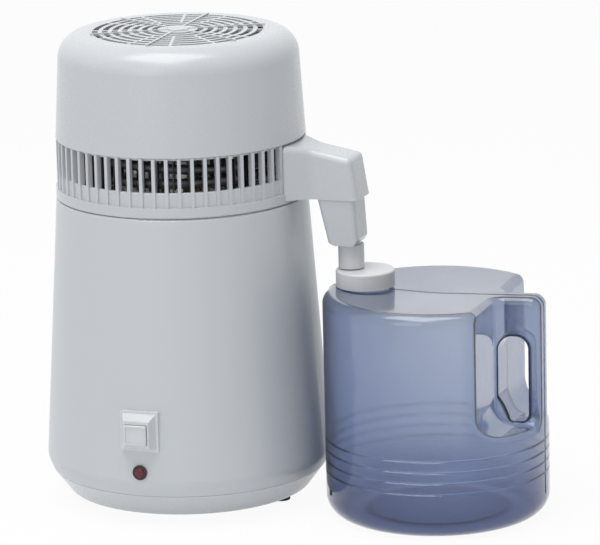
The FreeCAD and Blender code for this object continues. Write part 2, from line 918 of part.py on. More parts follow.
def make_heater():
    """Spreader, ring element with its cold ends, strap, nut and the two thermostats."""
    plate = new_body("heater_plate")
    padded_round(plate, "XY_Plane", spreader_bottom, at.spreader_thickness,
                 0.0, 0.0, spreader_radius)
    pocketed_round(plate, "XY_Plane", spreader_bottom - 1, at.spreader_thickness + 2,
                   0.0, 0.0, at.pot_stud_radius + at.screw_clearance)
    keep(plate, "heater_plate")

    ring = doc.addObject("Part::Torus", "element_ring")
    bind(ring, "Radius1", at.element_radius)
    bind(ring, "Radius2", at.element_tube)
    bind(ring, "Angle3", 360 - at.element_gap)
    place(ring, 0.0, 0.0, element_height)
    ring.Placement.Rotation = FreeCAD.Rotation(UP, SIZES["element_gap"] / 2 + element_bearing)
    parts = [ring]
    for side in (-1, 1):
        bearing = element_bearing + side * at.element_gap / 2
        x = at.element_radius * cosine(bearing)
        y = at.element_radius * sine(bearing)
        knee = doc.addObject("Part::Sphere", "element_knee")
        bind(knee, "Radius", at.element_tube)
        place(knee, x, y, element_height)
        end = doc.addObject("Part::Cylinder", "element_end")
        bind(end, "Radius", at.element_tube)
        bind(end, "Height", at.cold_end_length)
        place(end, x, y, element_height - at.cold_end_length)
        pin = doc.addObject("Part::Cylinder", "element_pin")
        bind(pin, "Radius", at.element_tube / 3)
        bind(pin, "Height", 5)
        place(pin, x, y, element_height - at.cold_end_length - 4)
        parts += [knee, end, pin]
    element = doc.addObject("Part::MultiFuse", "heating_element")
    element.Shapes = parts
    keep(element, "heating_element")

    strap = new_body("heater_clamp")
    half = at.element_radius + at.element_tube + 4
    padded(strap, "XZ_Plane", -at.clamp_width / 2, at.clamp_width, [
        (-half, clamp_top - at.clamp_thickness),
        (half, clamp_top - at.clamp_thickness),
        (half, clamp_top),
        (-half, clamp_top),
    ])
    pocketed_round(strap, "XY_Plane", clamp_top - 4, 6, 0.0, 0.0,
                   at.pot_stud_radius + at.screw_clearance)
    keep(strap, "heater_clamp")

    nut = make_nut("stud_nut", at.heater_nut_width, at.pot_stud_radius + 0.05, at.heater_nut_height)
    group("heater_nut", nut, [spot(0, 0, nut_bottom + 1)])

    for label, side in (("control_thermostat", 1), ("overheat_cutout", -1)):
        body = new_body(label)
        top = spreader_bottom
        padded(body, "XY_Plane", top - 1.2, 1.2, [
            (-at.thermostat_radius - 5, -4, 2),
            (at.thermostat_radius + 5, -4, 2),
            (at.thermostat_radius + 5, 4, 2),
            (-at.thermostat_radius - 5, 4, 2),
        ])
        padded_round(body, "XY_Plane", top - at.thermostat_height, at.thermostat_height,
                     0.0, 0.0, at.thermostat_radius)
        for blade in (-1, 1):
            low = at.thermostat_radius * 0.5 * blade
            padded(body, "XY_Plane", top - at.thermostat_height - 6, 7, rectangle(
                low - 0.4, -2.5, low + 0.4, 2.5))
        if side < 0:
            padded_round(body, "XY_Plane", top - at.thermostat_height - 3, 4, 0.0, 0.0, 1.5)
        place(body, 0.0, side * at.thermostat_reach, 0.0)
        keep(body, label)


def make_heat_shield():
    """Dished steel plate on the tray's posts."""
    body = new_body("heat_shield")
    low = at.shield_height
    sheet = at.sheet_thickness
    turned(body, [
        (0.0, low),
        (at.shield_radius, low, 2.5),
        (at.shield_radius, low + at.shield_rim),
        (at.shield_radius - sheet, low + at.shield_rim),
        (at.shield_radius - sheet, low + sheet, 1.5),
        (0.0, low + sheet),
    ])
    hole = pocketed_round(body, "XY_Plane", low - 1, sheet + 2,
                          at.element_radius * cosine(element_bearing),
                          at.element_radius * sine(element_bearing), at.shield_hole)
    body.Tip = hole
    keep(body, "heat_shield")


def make_button():
    """Raised bezel with its sleeve, the switch behind it, and the dished push button."""
    body = new_body("button_bezel")
    middle = at.button_height
    half_wide = at.bezel_width / 2
    half_tall = at.bezel_tall / 2
    low_plane = belly_radius - at.bezel_seat
    flange_face = casing_radius(middle) + at.bezel_flange
    top_face = casing_radius(middle) + at.bezel_proud
    padded(body, "XZ_Plane", low_plane, flange_face - low_plane, rectangle(
        -half_wide, middle - half_tall, half_wide, middle + half_tall, 1))
    step = at.bezel_step
    foot = sketch_on(body, "XZ_Plane", flange_face)
    outline(foot, rectangle(-half_wide + step, middle - half_tall + step,
                            half_wide - step, middle + half_tall - step, 1))
    face = sketch_on(body, "XZ_Plane", top_face)
    side = half_wide - step - at.bezel_side_slope
    outline(face, rectangle(-side, middle - half_tall + step + at.bezel_low_slope,
                            side, middle + half_tall - step - at.bezel_top_slope, 0.8))
    raised = body.newObject("PartDesign::AdditiveLoft", "bezel_raised")
    raised.Profile = foot
    raised.Sections = [face]
    raised.Ruled = True
    trim_to_casing(body, middle - at.bezel_tall, middle + at.bezel_tall)
    sleeve = at.sleeve_width / 2
    inner_end = casing_radius(middle) - at.sleeve_depth
    padded(body, "XZ_Plane", inner_end, at.sleeve_depth, rectangle(
        -sleeve, middle - sleeve, sleeve, middle + sleeve, 1))
    hole_wide = at.button_width / 2 + at.button_gap
    hole_low = button_middle - at.button_tall / 2 - at.button_gap
    hole_high = button_middle + at.button_tall / 2 + at.button_gap
    hole = pocketed(body, "XZ_Plane", inner_end - 1, top_face - inner_end + 2, rectangle(
        -hole_wide, hole_low, hole_wide, hole_high, 1.2))
    body.Tip = hole
    keep(body, "button_bezel")

    switch = new_body("switch_body")
    back = inner_end - at.switch_depth
    padded(switch, "XZ_Plane", back, at.switch_depth, rectangle(
        -sleeve, middle - sleeve, sleeve, middle + sleeve, 1))
    stem = at.stem_size / 2 + at.button_gap
    pocketed(switch, "XZ_Plane", inner_end - at.stem_reach - 1, at.stem_reach + 1, rectangle(
        -stem, button_middle - stem, stem, button_middle + stem))
    for side_x in (-1, 1):
        for side_z in (-1, 1):
            x = side_x * sleeve / 2
            z = middle + side_z * sleeve / 2
            padded(switch, "XZ_Plane", back - 8, 9, rectangle(
                x - 0.4, z - 2.4, x + 0.4, z + 2.4))
    keep(switch, "switch_body")

    button = new_body("push_button")
    front = top_face + at.button_proud
    rest_back = inner_end + at.button_travel + 1
    wide = at.button_width / 2
    tall = at.button_tall / 2
    cap = padded(button, "XZ_Plane", rest_back, front - rest_back, rectangle(
        -wide, button_middle - tall, wide, button_middle + tall, 1))
    cap = filleted(button, cap, 0.8, lambda edge, middle_point:
                   abs(middle_point.y + float(front)) < 0.01)
    rim = at.button_rim
    pocketed(button, "XZ_Plane", front - at.button_dish, at.button_dish + 1, rectangle(
        -wide + rim, button_middle - tall + rim, wide - rim, button_middle + tall - rim, 0.8))
    half_stem = at.stem_size / 2
    stem_end = inner_end - at.stem_reach + at.button_travel
    padded(button, "XZ_Plane", stem_end, rest_back - stem_end + 1, rectangle(
        -half_stem, button_middle - half_stem, half_stem, button_middle + half_stem))
    keep(button, "push_button")


def make_lamp():
    """Pilot lamp: dark ring on the casing, domed lens, and the housing behind the panel."""
    front = casing_radius(at.lamp_height) + at.lamp_proud
    ring = new_body("lamp_bezel")
    neck = at.lamp_neck_radius
    ring_back = belly_radius - at.bezel_seat
    padded_round(ring, "XZ_Plane", ring_back, front - ring_back,
                 0.0, at.lamp_height, at.lamp_radius)
    trim_to_casing(ring, at.lamp_height - at.lamp_radius - 4, at.lamp_height + at.lamp_radius + 4)
    panel_back = casing_radius(at.lamp_height) - at.lamp_neck
    padded_round(ring, "XZ_Plane", panel_back, at.lamp_neck, 0.0, at.lamp_height, neck)
    bored = pocketed_round(ring, "XZ_Plane", panel_back - 1, at.lamp_neck + at.lamp_proud + 2,
                           0.0, at.lamp_height, at.lens_radius - 0.7)
    counter = pocketed_round(ring, "XZ_Plane", front - at.lens_seat, at.lens_seat + 1,
                             0.0, at.lamp_height, at.lens_radius + 0.1)
    ring.Tip = counter
    keep(ring, "lamp_bezel")

    lens = new_body("lamp_lens")
    turned(lens, [
        (0.0, -at.lens_seat),
        (at.lens_radius, -at.lens_seat),
        (at.lens_radius, 0.3),
        (at.lens_radius * 0.7, 1.2, 2.5),
        (0.0, 1.5),
    ])
    face_front(lens, front)
    keep(lens, "lamp_lens")

    housing = new_body("lamp_body")
    turned(housing, [
        (0.0, -at.lamp_depth),
        (neck, -at.lamp_depth, 0.8),
        (neck, 0.0),
        (0.0, 0.0),
    ])
    face_front(housing, panel_back)
    for blade in (-1, 1):
        padded(housing, "XY_Plane", -at.lamp_depth - 6, 7, rectangle(
            blade * 2.4 - 0.4, -1.4, blade * 2.4 + 0.4, 1.4))
    keep(housing, "lamp_body")


def face_front(body, reach):
    """Turns a piece modelled along +Z to point out of the front, with its z = 0 at -reach."""
    body.Placement = FreeCAD.Placement(Vector(0, 0, 0), FreeCAD.Rotation(Vector(1, 0, 0), 90))
    place(body, 0.0, -reach, at.lamp_height)


def make_inlet(label, pins_label, height, radius, trim):
    """Three-pin inlet in the back of a shell: housing with its socket, and the three pins."""
    body = new_body(label)
    wide = at.inlet_width / 2
    tall = at.inlet_tall / 2
    rim = at.inlet_rim
    face = radius + at.inlet_proud
    seat = radius - at.inlet_seat
    flange = padded(body, "XZ_Plane", -face, face - seat, rectangle(
        -wide - rim, height - tall - rim, wide + rim, height + tall + rim, 2.5))
    trim(body, height)
    back = radius - at.inlet_depth
    padded(body, "XZ_Plane", -radius, at.inlet_depth, rectangle(
        -wide, height - tall, wide, height + tall, 1))
    socket_wide = at.socket_width / 2
    socket_tall = at.socket_tall / 2
    corner = at.socket_corner
    pocketed(body, "XZ_Plane", -face - 1, at.socket_depth + 1, [
        (-socket_wide, height - socket_tall),
        (socket_wide, height - socket_tall),
        (socket_wide, height + socket_tall - corner),
        (socket_wide - corner, height + socket_tall),
        (-socket_wide + corner, height + socket_tall),
        (-socket_wide, height + socket_tall - corner),
    ])
    spots = ((-1, -1), (1, -1), (0, 1))
    for across, lift in spots:
        x = across * at.pin_spacing
        z = height + lift * at.pin_offset
        pocketed(body, "XZ_Plane", -face, at.inlet_depth + at.inlet_proud + 1, rectangle(
            x - at.pin_thick / 2, z - at.pin_wide / 2, x + at.pin_thick / 2, z + at.pin_wide / 2))
    keep(body, label)

    blade = new_body(pins_label + "_blade")
    front = face - at.pin_inset
    tail = back - at.pin_tail
    padded(blade, "XZ_Plane", -front, front - tail, rectangle(
        -at.pin_thick / 2, -at.pin_wide / 2, at.pin_thick / 2, at.pin_wide / 2))
    group(pins_label, blade, [
        spot(across * at.pin_spacing, 0, height + lift * at.pin_offset)
        for across, lift in spots
    ])


def trim_inlet_to_casing(body, height):
    """Seats the flange of the base's inlet on the casing."""
    trim_to_casing(body, height - at.inlet_tall, height + at.inlet_tall)


def trim_inlet_to_cover(body, height):
    """Seats the flange of the head's inlet on the cover."""
    low = height - at.inlet_tall
    high = height + at.inlet_tall
    groove(body, [
        (pot_radius - 30, low),
        (seated(cover_radius(low)), low),
        (seated(cover_radius(high)), high),
        (pot_radius - 30, high),
    ])


# ---------------------------------------------------------------- head

def cover_radius(height):
    """Outer radius of the upper cover's flank at a height."""
    rise = at.cover_height - at.cover_crown
    lean = (cover_lower_radius - cover_upper_radius) / rise
    return cover_lower_radius - lean * (height - cover_bottom)


def radial_box(bearing, inner, outer, width):
    """Corners of a bar that points away from the Z axis."""
    along_x = cosine(bearing)
    along_y = sine(bearing)
    half = size(width) / 2
    corners = []
    for reach, side in ((inner, -1), (outer, -1), (outer, 1), (inner, 1)):
        x = reach * along_x - side * half * along_y
        y = reach * along_y + side * half * along_x
        corners.append((x, y))
    return corners


def draw_slot(drawing, middle, sectors):
    """Draws one slot of a ring that is divided into equal sectors by narrow bars."""
    inner = middle - at.grille_slot / 2
    outer = middle + at.grille_slot / 2
    half_angle = 180 / sectors - at.grille_bar / middle * (90 / math.pi)
    turn = math.radians(float(half_angle))
    lines = []
    for side in (-1, 1):
        direction = Vector(math.cos(side * turn), math.sin(side * turn), 0)
        line = Part.LineSegment(direction * float(inner), direction * float(outer))
        lines.append(drawing.addGeometry(line))
    for radius, end in ((inner, 1), (outer, 2)):
        circle = Part.Circle(Vector(0, 0, 0), UP, float(radius))
        arc = drawing.addGeometry(Part.ArcOfCircle(circle, -turn, turn))
        drawing.addConstraint(Sketcher.Constraint("Coincident", arc, 3, -1, 1))
        drawing.addConstraint(Sketcher.Constraint("Coincident", arc, 1, lines[0], end))
        drawing.addConstraint(Sketcher.Constraint("Coincident", arc, 2, lines[1], end))
        set_constraint(drawing, Sketcher.Constraint("Radius", arc, float(radius)), radius)
    for line, side in zip(lines, (-1, 1)):
        drawing.addConstraint(Sketcher.Constraint("PointOnObject", -1, 1, line))
        rule = Sketcher.Constraint("Angle", line, side * turn)
        set_constraint(drawing, rule, side * half_angle)


def make_head_seal():
    """Silicone ring: flat on the pot's rim, with a lip inside the pot."""
    body = new_body("head_seal")
    lip_outer = pot_radius - at.seal_clearance
    lip_inner = lip_outer - at.seal_lip_thickness
    turned(body, [
        (lip_inner, rim_top - at.seal_lip),
        (lip_outer, rim_top - at.seal_lip),
        (lip_outer, rim_top),
        (pot_rim_radius, rim_top),
        (pot_rim_radius, seal_top),
        (lip_inner, seal_top),
    ])
    keep(body, "head_seal")


def make_lid_plate():
    """Pressed lid with a raised middle, the steam hole, and two rings of welded studs."""
    body = new_body("lid_plate")
    rise = at.lid_step_height
    step = lid_step_radius
    turned(body, [
        (0.0, seal_top + rise),
        (step - at.lid_thickness, seal_top + rise),
        (step - at.lid_thickness, seal_top),
        (pot_rim_radius, seal_top),
        (pot_rim_radius, lid_top),
        (step, lid_top),
        (step, lid_top + rise),
        (0.0, lid_top + rise),
    ])
    pocketed_round(body, "XY_Plane", seal_top, rise + at.lid_thickness + 1,
                   at.riser_x, -at.entry_bend, at.coil_tube + at.tube_clearance)
    rim_stud = padded_round(body, "XY_Plane", seal_top, at.lid_thickness + at.stud_length,
                            stud_reach * cosine(45), stud_reach * sine(45), at.stud_radius)
    inner_stud = padded_round(body, "XY_Plane", seal_top + rise,
                              at.lid_thickness + at.stud_length,
                              at.foot_stud_reach, 0.0, at.stud_radius)
    around(body, [rim_stud, inner_stud], 4)
    keep(body, "lid_plate")

    nut = make_nut("stud_lock_nut", at.nut_width, at.stud_radius + 0.05, at.nut_height)
    spots = spots_round(stud_reach, lid_top + at.ring_wall, screw_bearings)
    foot_top = lid_top + rise + at.bracket_thickness
    spots += spots_round(at.foot_stud_reach, foot_top, (0, 90, 180, 270))
    group("lid_nuts", nut, spots)


def make_head_housing():
    """Vent ring with its ribs, recessed panels and collar, moulded in one with the arm."""
    body = new_body("head_housing")
    wall = at.ring_wall
    make_arm(body)
    ledge_inner = lid_step_radius + 1
    turned(body, [
        (seat_radius, head_bottom),
        (ring_radius, head_bottom, 0.8),
        (ring_radius, band_top),
        (panel_radius, band_top),
        (panel_radius, panel_top, 1.4),
        (panel_inner_radius, panel_top),
        (panel_inner_radius, lid_top + wall),
        (ledge_inner, lid_top + wall),
        (ledge_inner, lid_top),
        (seat_radius, lid_top),
    ])
    rib_inner = rib_outer_radius - at.rib_depth
    rib = padded(body, "XY_Plane", band_top - 0.5, cover_bottom - band_top + 0.5,
                 radial_box(at.rib_start_angle, rib_inner, rib_outer_radius, at.rib_thickness))
    around(body, [rib], at.rib_count, 360 - 2 * at.rib_start_angle)
    turned(body, [
        (collar_inner, cover_bottom - at.collar_height),
        (rib_inner + at.collar_overlap, cover_bottom - at.collar_height),
        (rib_inner + at.collar_overlap, cover_bottom),
        (collar_inner, cover_bottom),
    ])
    half = at.arm_width / 2 - wall - 2
    low = band_top + 1
    high = cover_bottom - at.collar_height - wall
    pocketed(body, "YZ_Plane", coil_radius, ring_radius - coil_radius,
             rectangle(-half, low, half, high, 3))
    bore = pocketed_round(body, "XY_Plane", cover_bottom - at.collar_height - 1,
                          at.collar_height + 2,
                          cover_post_reach * cosine(45), cover_post_reach * sine(45),
                          at.screw_radius + at.screw_clearance)
    stud_hole = pocketed_round(body, "XY_Plane", lid_top - 1, wall + 2,
                               stud_reach * cosine(45), stud_reach * sine(45),
                               at.stud_radius + at.screw_clearance)
    around(body, [bore, stud_hole], 4)
    keep(body, "head_housing")


def make_arm(body):
    """Spout arm: flared root, leaning end, falling top, rounded edges and a hollow inside."""
    wall = at.ring_wall
    half = at.arm_width / 2
    root_x = panel_inner_radius * cosine(at.arm_half_angle) - 2
    flare_x = ring_radius * cosine(at.arm_half_angle)
    flare = ring_radius * sine(at.arm_half_angle)
    lip = arm_bottom_height + 3
    end_top = arm_length - at.arm_end_lean
    padded(body, "XZ_Plane", -flare, 2 * flare, [
        (root_x, arm_bottom_height),
        (arm_length, arm_bottom_height),
        (arm_length, lip),
        (end_top, arm_top_height - at.arm_slope),
        (root_x, arm_top_height),
    ])
    beyond = arm_length + 10
    tall = arm_top_height - arm_bottom_height + 2
    for side in (-1, 1):
        waisted = pocketed(body, "XY_Plane", arm_bottom_height - 1, tall, [
            (flare_x, side * flare),
            (arm_flare_start, side * half, at.arm_flare_round),
            (beyond, side * half),
            (beyond, side * (flare + 5)),
            (flare_x, side * (flare + 5)),
        ])
    brow = end_top.number - 3
    shelf = arm_top_height.number - SIZES["arm_slope"] - 1
    filleted(body, waisted, at.arm_edge_round, lambda edge, middle:
             middle.x > root_x.number + 1 and middle.z > shelf
             or middle.x > brow and edge.BoundBox.ZLength > 20)
    inner_half = half - wall
    ceiling = arm_top_height - at.arm_slope - wall - 0.6
    pocketed(body, "XY_Plane", arm_bottom_height - 1, ceiling - arm_bottom_height + 1,
             rectangle(ring_radius - wall, -inner_half, arm_cavity_end, inner_half, 3))
    padded(body, "XY_Plane", arm_bottom_height, wall, rectangle(
        ring_radius - wall - 1, -inner_half - 0.5, cup_neck_start - at.cup_neck_gap,
        inner_half + 0.5))
    pocketed_round(body, "XY_Plane", arm_bottom_height - 1, tall, 0.0, 0.0,
                   panel_inner_radius)
    pocketed_round(body, "XY_Plane", arm_bottom_height - 1, lid_top - arm_bottom_height + 1,
                   0.0, 0.0, seat_radius)


def make_upper_cover():
    """Domed cover: tapered flank, big shoulder, slotted grille with spokes, screw posts."""
    body = new_body("upper_cover")
    wall = at.cover_wall
    corner_height = cover_top - at.cover_crown
    turned(body, [
        (cover_lower_radius, cover_bottom, 0.8),
        (cover_upper_radius, corner_height, at.cover_shoulder),
        (0.0, cover_top),
        (0.0, cover_top - wall),
        (cover_upper_radius - wall, corner_height - wall, at.cover_shoulder - wall),
        (cover_lower_radius - wall, cover_bottom),
    ])
    grille_low = cover_top - wall - at.cover_crown - 3
    grille_deep = wall + at.cover_crown + 5
    for rings, sectors in ((range(2), at.grille_sectors / 2),
                           (range(2, SIZES["grille_rings"]), at.grille_sectors)):
        def draw(drawing):
            for ring in rings:
                draw_slot(drawing, at.grille_first_radius + at.grille_pitch * ring, sectors)
        slots = extruded("PartDesign::Pocket", body, "XY_Plane", grille_low, grille_deep,
                         draw, True)
        around(body, [slots], sectors)
    spoke_low = cover_top - at.cover_crown - wall / 2
    spoke = padded(body, "XY_Plane", spoke_low, cover_top - spoke_low + at.spoke_rise / 2,
                   radial_box(30, 2, at.grille_radius + 2, at.spoke_width))
    around(body, [spoke], at.grille_sectors / 2)
    padded_round(body, "XY_Plane", spoke_low, cover_top - spoke_low + at.spoke_rise,
                 0.0, 0.0, at.hub_radius)
    post_x = cover_post_reach * cosine(45)
    post_y = cover_post_reach * sine(45)
    post = padded_round(body, "XY_Plane", cover_bottom, at.cover_post_height,
                        post_x, post_y, at.cover_post_radius)
    web_outer = cover_radius(cover_bottom + at.cover_post_height) - wall / 2
    web = padded(body, "XY_Plane", cover_bottom, at.cover_post_height,
                 radial_box(45, cover_post_reach, web_outer, wall))
    bore = pocketed_round(body, "XY_Plane", cover_bottom - 1, at.cover_post_height / 2 + 1,
                          post_x, post_y, at.screw_radius + 0.05)
    around(body, [post, web, bore], 4)
    half_wide = at.inlet_width / 2 + at.panel_gap
    half_tall = at.inlet_tall / 2 + at.panel_gap
    cutout = pocketed(body, "XZ_Plane", -cover_lower_radius - 2, cover_lower_radius / 2,
                      rectangle(-half_wide, fan_inlet_height - half_tall,
                                half_wide, fan_inlet_height + half_tall))
    body.Tip = cutout
    keep(body, "upper_cover")

    screw = make_screw("cover_screw", at.collar_height + at.cover_post_height / 3)
    seat = cover_bottom - at.collar_height
    group("cover_screws", screw, spots_round(cover_post_reach, seat, screw_bearings))


def arc_through(start, middle, end):
    """Arc of a circle as an edge."""
    return Part.Arc(start, middle, end).toShape()


def quarter_bend(start, heading, turned_heading, radius):
    """Arc that turns a path from one heading to another, and the point where it ends."""
    angle = heading.getAngle(turned_heading)
    side = (turned_heading - heading * math.cos(angle)).normalize()
    centre = start + side * radius
    end = centre - side * (radius * math.cos(angle)) + heading * (radius * math.sin(angle))
    half = angle / 2
    middle = centre - side * (radius * math.cos(half)) + heading * (radius * math.sin(half))
    return arc_through(start, middle, end), end


def coil_path():
    """Middle line of the condenser tube: riser, tilted half turns, outlet and down pipe."""
    east = Vector(1, 0, 0)
    radius = float(coil_radius)
    low = float(coil_low_height)
    top = float(coil_top_height)
    bend = float(at.riser_bend)
    entry = float(at.entry_bend)
    start = Vector(float(at.riser_x), -entry, float(seal_top))
    knee = Vector(start.x, start.y, top - bend)
    edges = [Part.LineSegment(start, knee).toShape()]
    arc, point = quarter_bend(knee, UP, east, bend)
    edges.append(arc)
    turn_in = Vector(radius - entry, -entry, top)
    edges.append(Part.LineSegment(point, turn_in).toShape())
    arc, point = quarter_bend(turn_in, east, Vector(0, 1, 0), entry)
    edges.append(arc)
    drop = float(at.coil_pitch) / 2
    for half_turn in range(2 * SIZES["coil_turns"] - 1):
        side = 1 if half_turn % 2 == 0 else -1
        end = Vector(-side * radius, 0, point.z - drop)
        chord = (end - point).Length / 2
        middle = (point + end) / 2 + Vector(0, side * chord, 0)
        edges.append(arc_through(point, middle, end))
        point = end
    turn = math.radians(float(at.exit_angle))
    middle = Vector(0, -radius, low)
    end = Vector(radius * math.cos(turn), -radius * math.sin(turn), low)
    edges.append(arc_through(point, middle, end))
    heading = Vector(math.sin(turn), math.cos(turn), 0)
    exit_bend = radius * math.sin(turn) / (1 - math.sin(turn))
    arc, point = quarter_bend(end, heading, east, exit_bend)
    edges.append(arc)
    down = float(at.down_bend)
    brink = Vector(float(down_reach) - down, 0, low)
    edges.append(Part.LineSegment(point, brink).toShape())
    arc, point = quarter_bend(brink, east, -UP, down)
    edges.append(arc)
    foot = Vector(point.x, 0, float(cup_neck_top) - 3)
    if foot.z < point.z - 0.01:
        edges.append(Part.LineSegment(point, foot).toShape())
    return Part.Wire(edges)


def swept_tube(path, radius):
    """Solid of a round section swept along a path."""
    start = path.Edges[0].firstVertex().Point
    heading = path.Edges[0].tangentAt(path.Edges[0].FirstParameter)
    section = Part.Wire([Part.Circle(start, heading, radius).toShape()])
    return path.makePipeShell([section], True, True)


def make_condenser():
    """Stainless tube from the lid to the spout, its fins, and the fitting at the lid."""
    path = coil_path()
    tube = swept_tube(path, float(at.coil_tube)).cut(swept_tube(path, float(at.coil_bore)))
    coil = doc.addObject("Part::Feature", "condenser_coil")
    coil.Shape = tube
    coil.Placement = FreeCAD.Placement()
    keep(coil, "condenser_coil")

    fins = new_body("condenser_fin")
    low = coil_low_height - at.fin_margin
    high = coil_top_height + at.fin_margin
    slot = at.coil_tube + at.tube_clearance
    notch_top = coil_top_height + slot
    fin = padded(fins, "XZ_Plane", -at.fin_thickness / 2, at.fin_thickness, [
        (fin_inner_radius, low),
        (coil_radius - slot, low),
        (coil_radius - slot, notch_top, slot - 0.1),
        (coil_radius + slot, notch_top, slot - 0.1),
        (coil_radius + slot, low),
        (fin_outer_radius, low),
        (fin_outer_radius, high),
        (fin_inner_radius, high),
    ])
    fins.Tip = fin
    count = SIZES["fin_count"]
    gap = SIZES["fin_gap_angle"]
    step = (360 - 2 * gap) / (count - 1)
    group("condenser_fins", fins, [spot(0, 0, 0, gap + step * number) for number in range(count)])

    nut = make_nut("fitting_nut", at.fitting_width, at.coil_tube + at.tube_clearance,
                   at.fitting_height)
    group("steam_fitting", nut, [spot(at.riser_x, -at.entry_bend, lid_top + at.lid_step_height)])


def make_fan():
    """Four-legged stand, motor, shaft and five twisted blades."""
    bracket = new_body("fan_bracket")
    sheet = at.bracket_thickness
    foot = at.foot_stud_reach + 5
    low = lid_top + at.lid_step_height
    high = motor_low_height
    leg = at.leg_reach
    hat = padded(bracket, "XZ_Plane", -at.leg_width / 2, at.leg_width, [
        (-foot, low),
        (-leg + sheet, low),
        (-leg + sheet, high - sheet),
        (leg - sheet, high - sheet),
        (leg - sheet, low),
        (foot, low),
        (foot, low + sheet),
        (leg, low + sheet),
        (leg, high),
        (-leg, high),
        (-leg, low + sheet),
        (-foot, low + sheet),
    ])
    around(bracket, [hat], 2, 90)
    padded_round(bracket, "XY_Plane", high - sheet, sheet, 0.0, 0.0, at.motor_radius + 3)
    hole = pocketed_round(bracket, "XY_Plane", low - 1, sheet + 2, at.foot_stud_reach, 0.0,
                          at.stud_radius + at.screw_clearance)
    around(bracket, [hole], 4)
    keep(bracket, "fan_bracket")

    motor = new_body("fan_motor")
    top = high + at.motor_height
    cap = at.motor_radius - 3
    bore = at.shaft_radius + at.shaft_clearance
    bore_low = high + at.motor_height / 2
    turned(motor, [
        (0.0, high),
        (cap, high, 3),
        (cap, high + at.motor_height * 0.3),
        (at.motor_radius, high + at.motor_height * 0.3),
        (at.motor_radius, high + at.motor_height * 0.7),
        (cap, high + at.motor_height * 0.7),
        (cap, top, 3),
        (8, top),
        (8, top + 3, 0.8),
        (bore, top + 3),
        (bore, bore_low),
        (0.0, bore_low),
    ])
    keep(motor, "fan_motor")

    shaft = new_body("fan_shaft")
    turned(shaft, [
        (0.0, bore_low + 0.3),
        (at.shaft_radius, bore_low + 0.3),
        (at.shaft_radius, fan_height + at.fan_hub_height + 2, 0.5),
        (0.0, fan_height + at.fan_hub_height + 2),
    ])
    keep(shaft, "fan_shaft")

    fan = new_body("fan_blade")
    hub_low = fan_height
    hub_high = fan_height + at.fan_hub_height
    hub_bore = at.shaft_radius + 0.02
    turned(fan, [
        (hub_bore, hub_low),
        (at.fan_hub_radius, hub_low),
        (at.fan_hub_radius, hub_high, 1.5),
        (hub_bore, hub_high),
    ])
    sections = []
    stations = (
        (at.fan_hub_radius - 2, at.blade_root_width, at.blade_root_pitch),
        (at.blade_reach, at.blade_width, at.blade_tip_pitch),
    )
    for reach, width, pitch in stations:
        section = sketch_on(fan, "YZ_Plane", reach)
        outline(section, blade_section(width, pitch, hub_low + at.fan_hub_height / 2))
        sections.append(section)
    blade = fan.newObject("PartDesign::AdditiveLoft", "fan_blade_loft")
    blade.Profile = sections[0]
    blade.Sections = sections[1:]
    blade.Ruled = True
    around(fan, [blade], at.blade_count)
    keep(fan, "fan_blade")


def blade_section(width, pitch, height):
    """Corners of a thin blade section, tilted by its pitch, in the plane across the blade."""
    along = size(width) / 2
    thick = at.blade_thickness / 2
    corners = []
    for run, side in ((-1, -1), (1, -1), (1, 1), (-1, 1)):
        x = run * along * cosine(pitch) - side * thick * sine(pitch)
        z = height + run * along * sine(pitch) + side * thick * cosine(pitch)
        corners.append((x, z))
    return corners


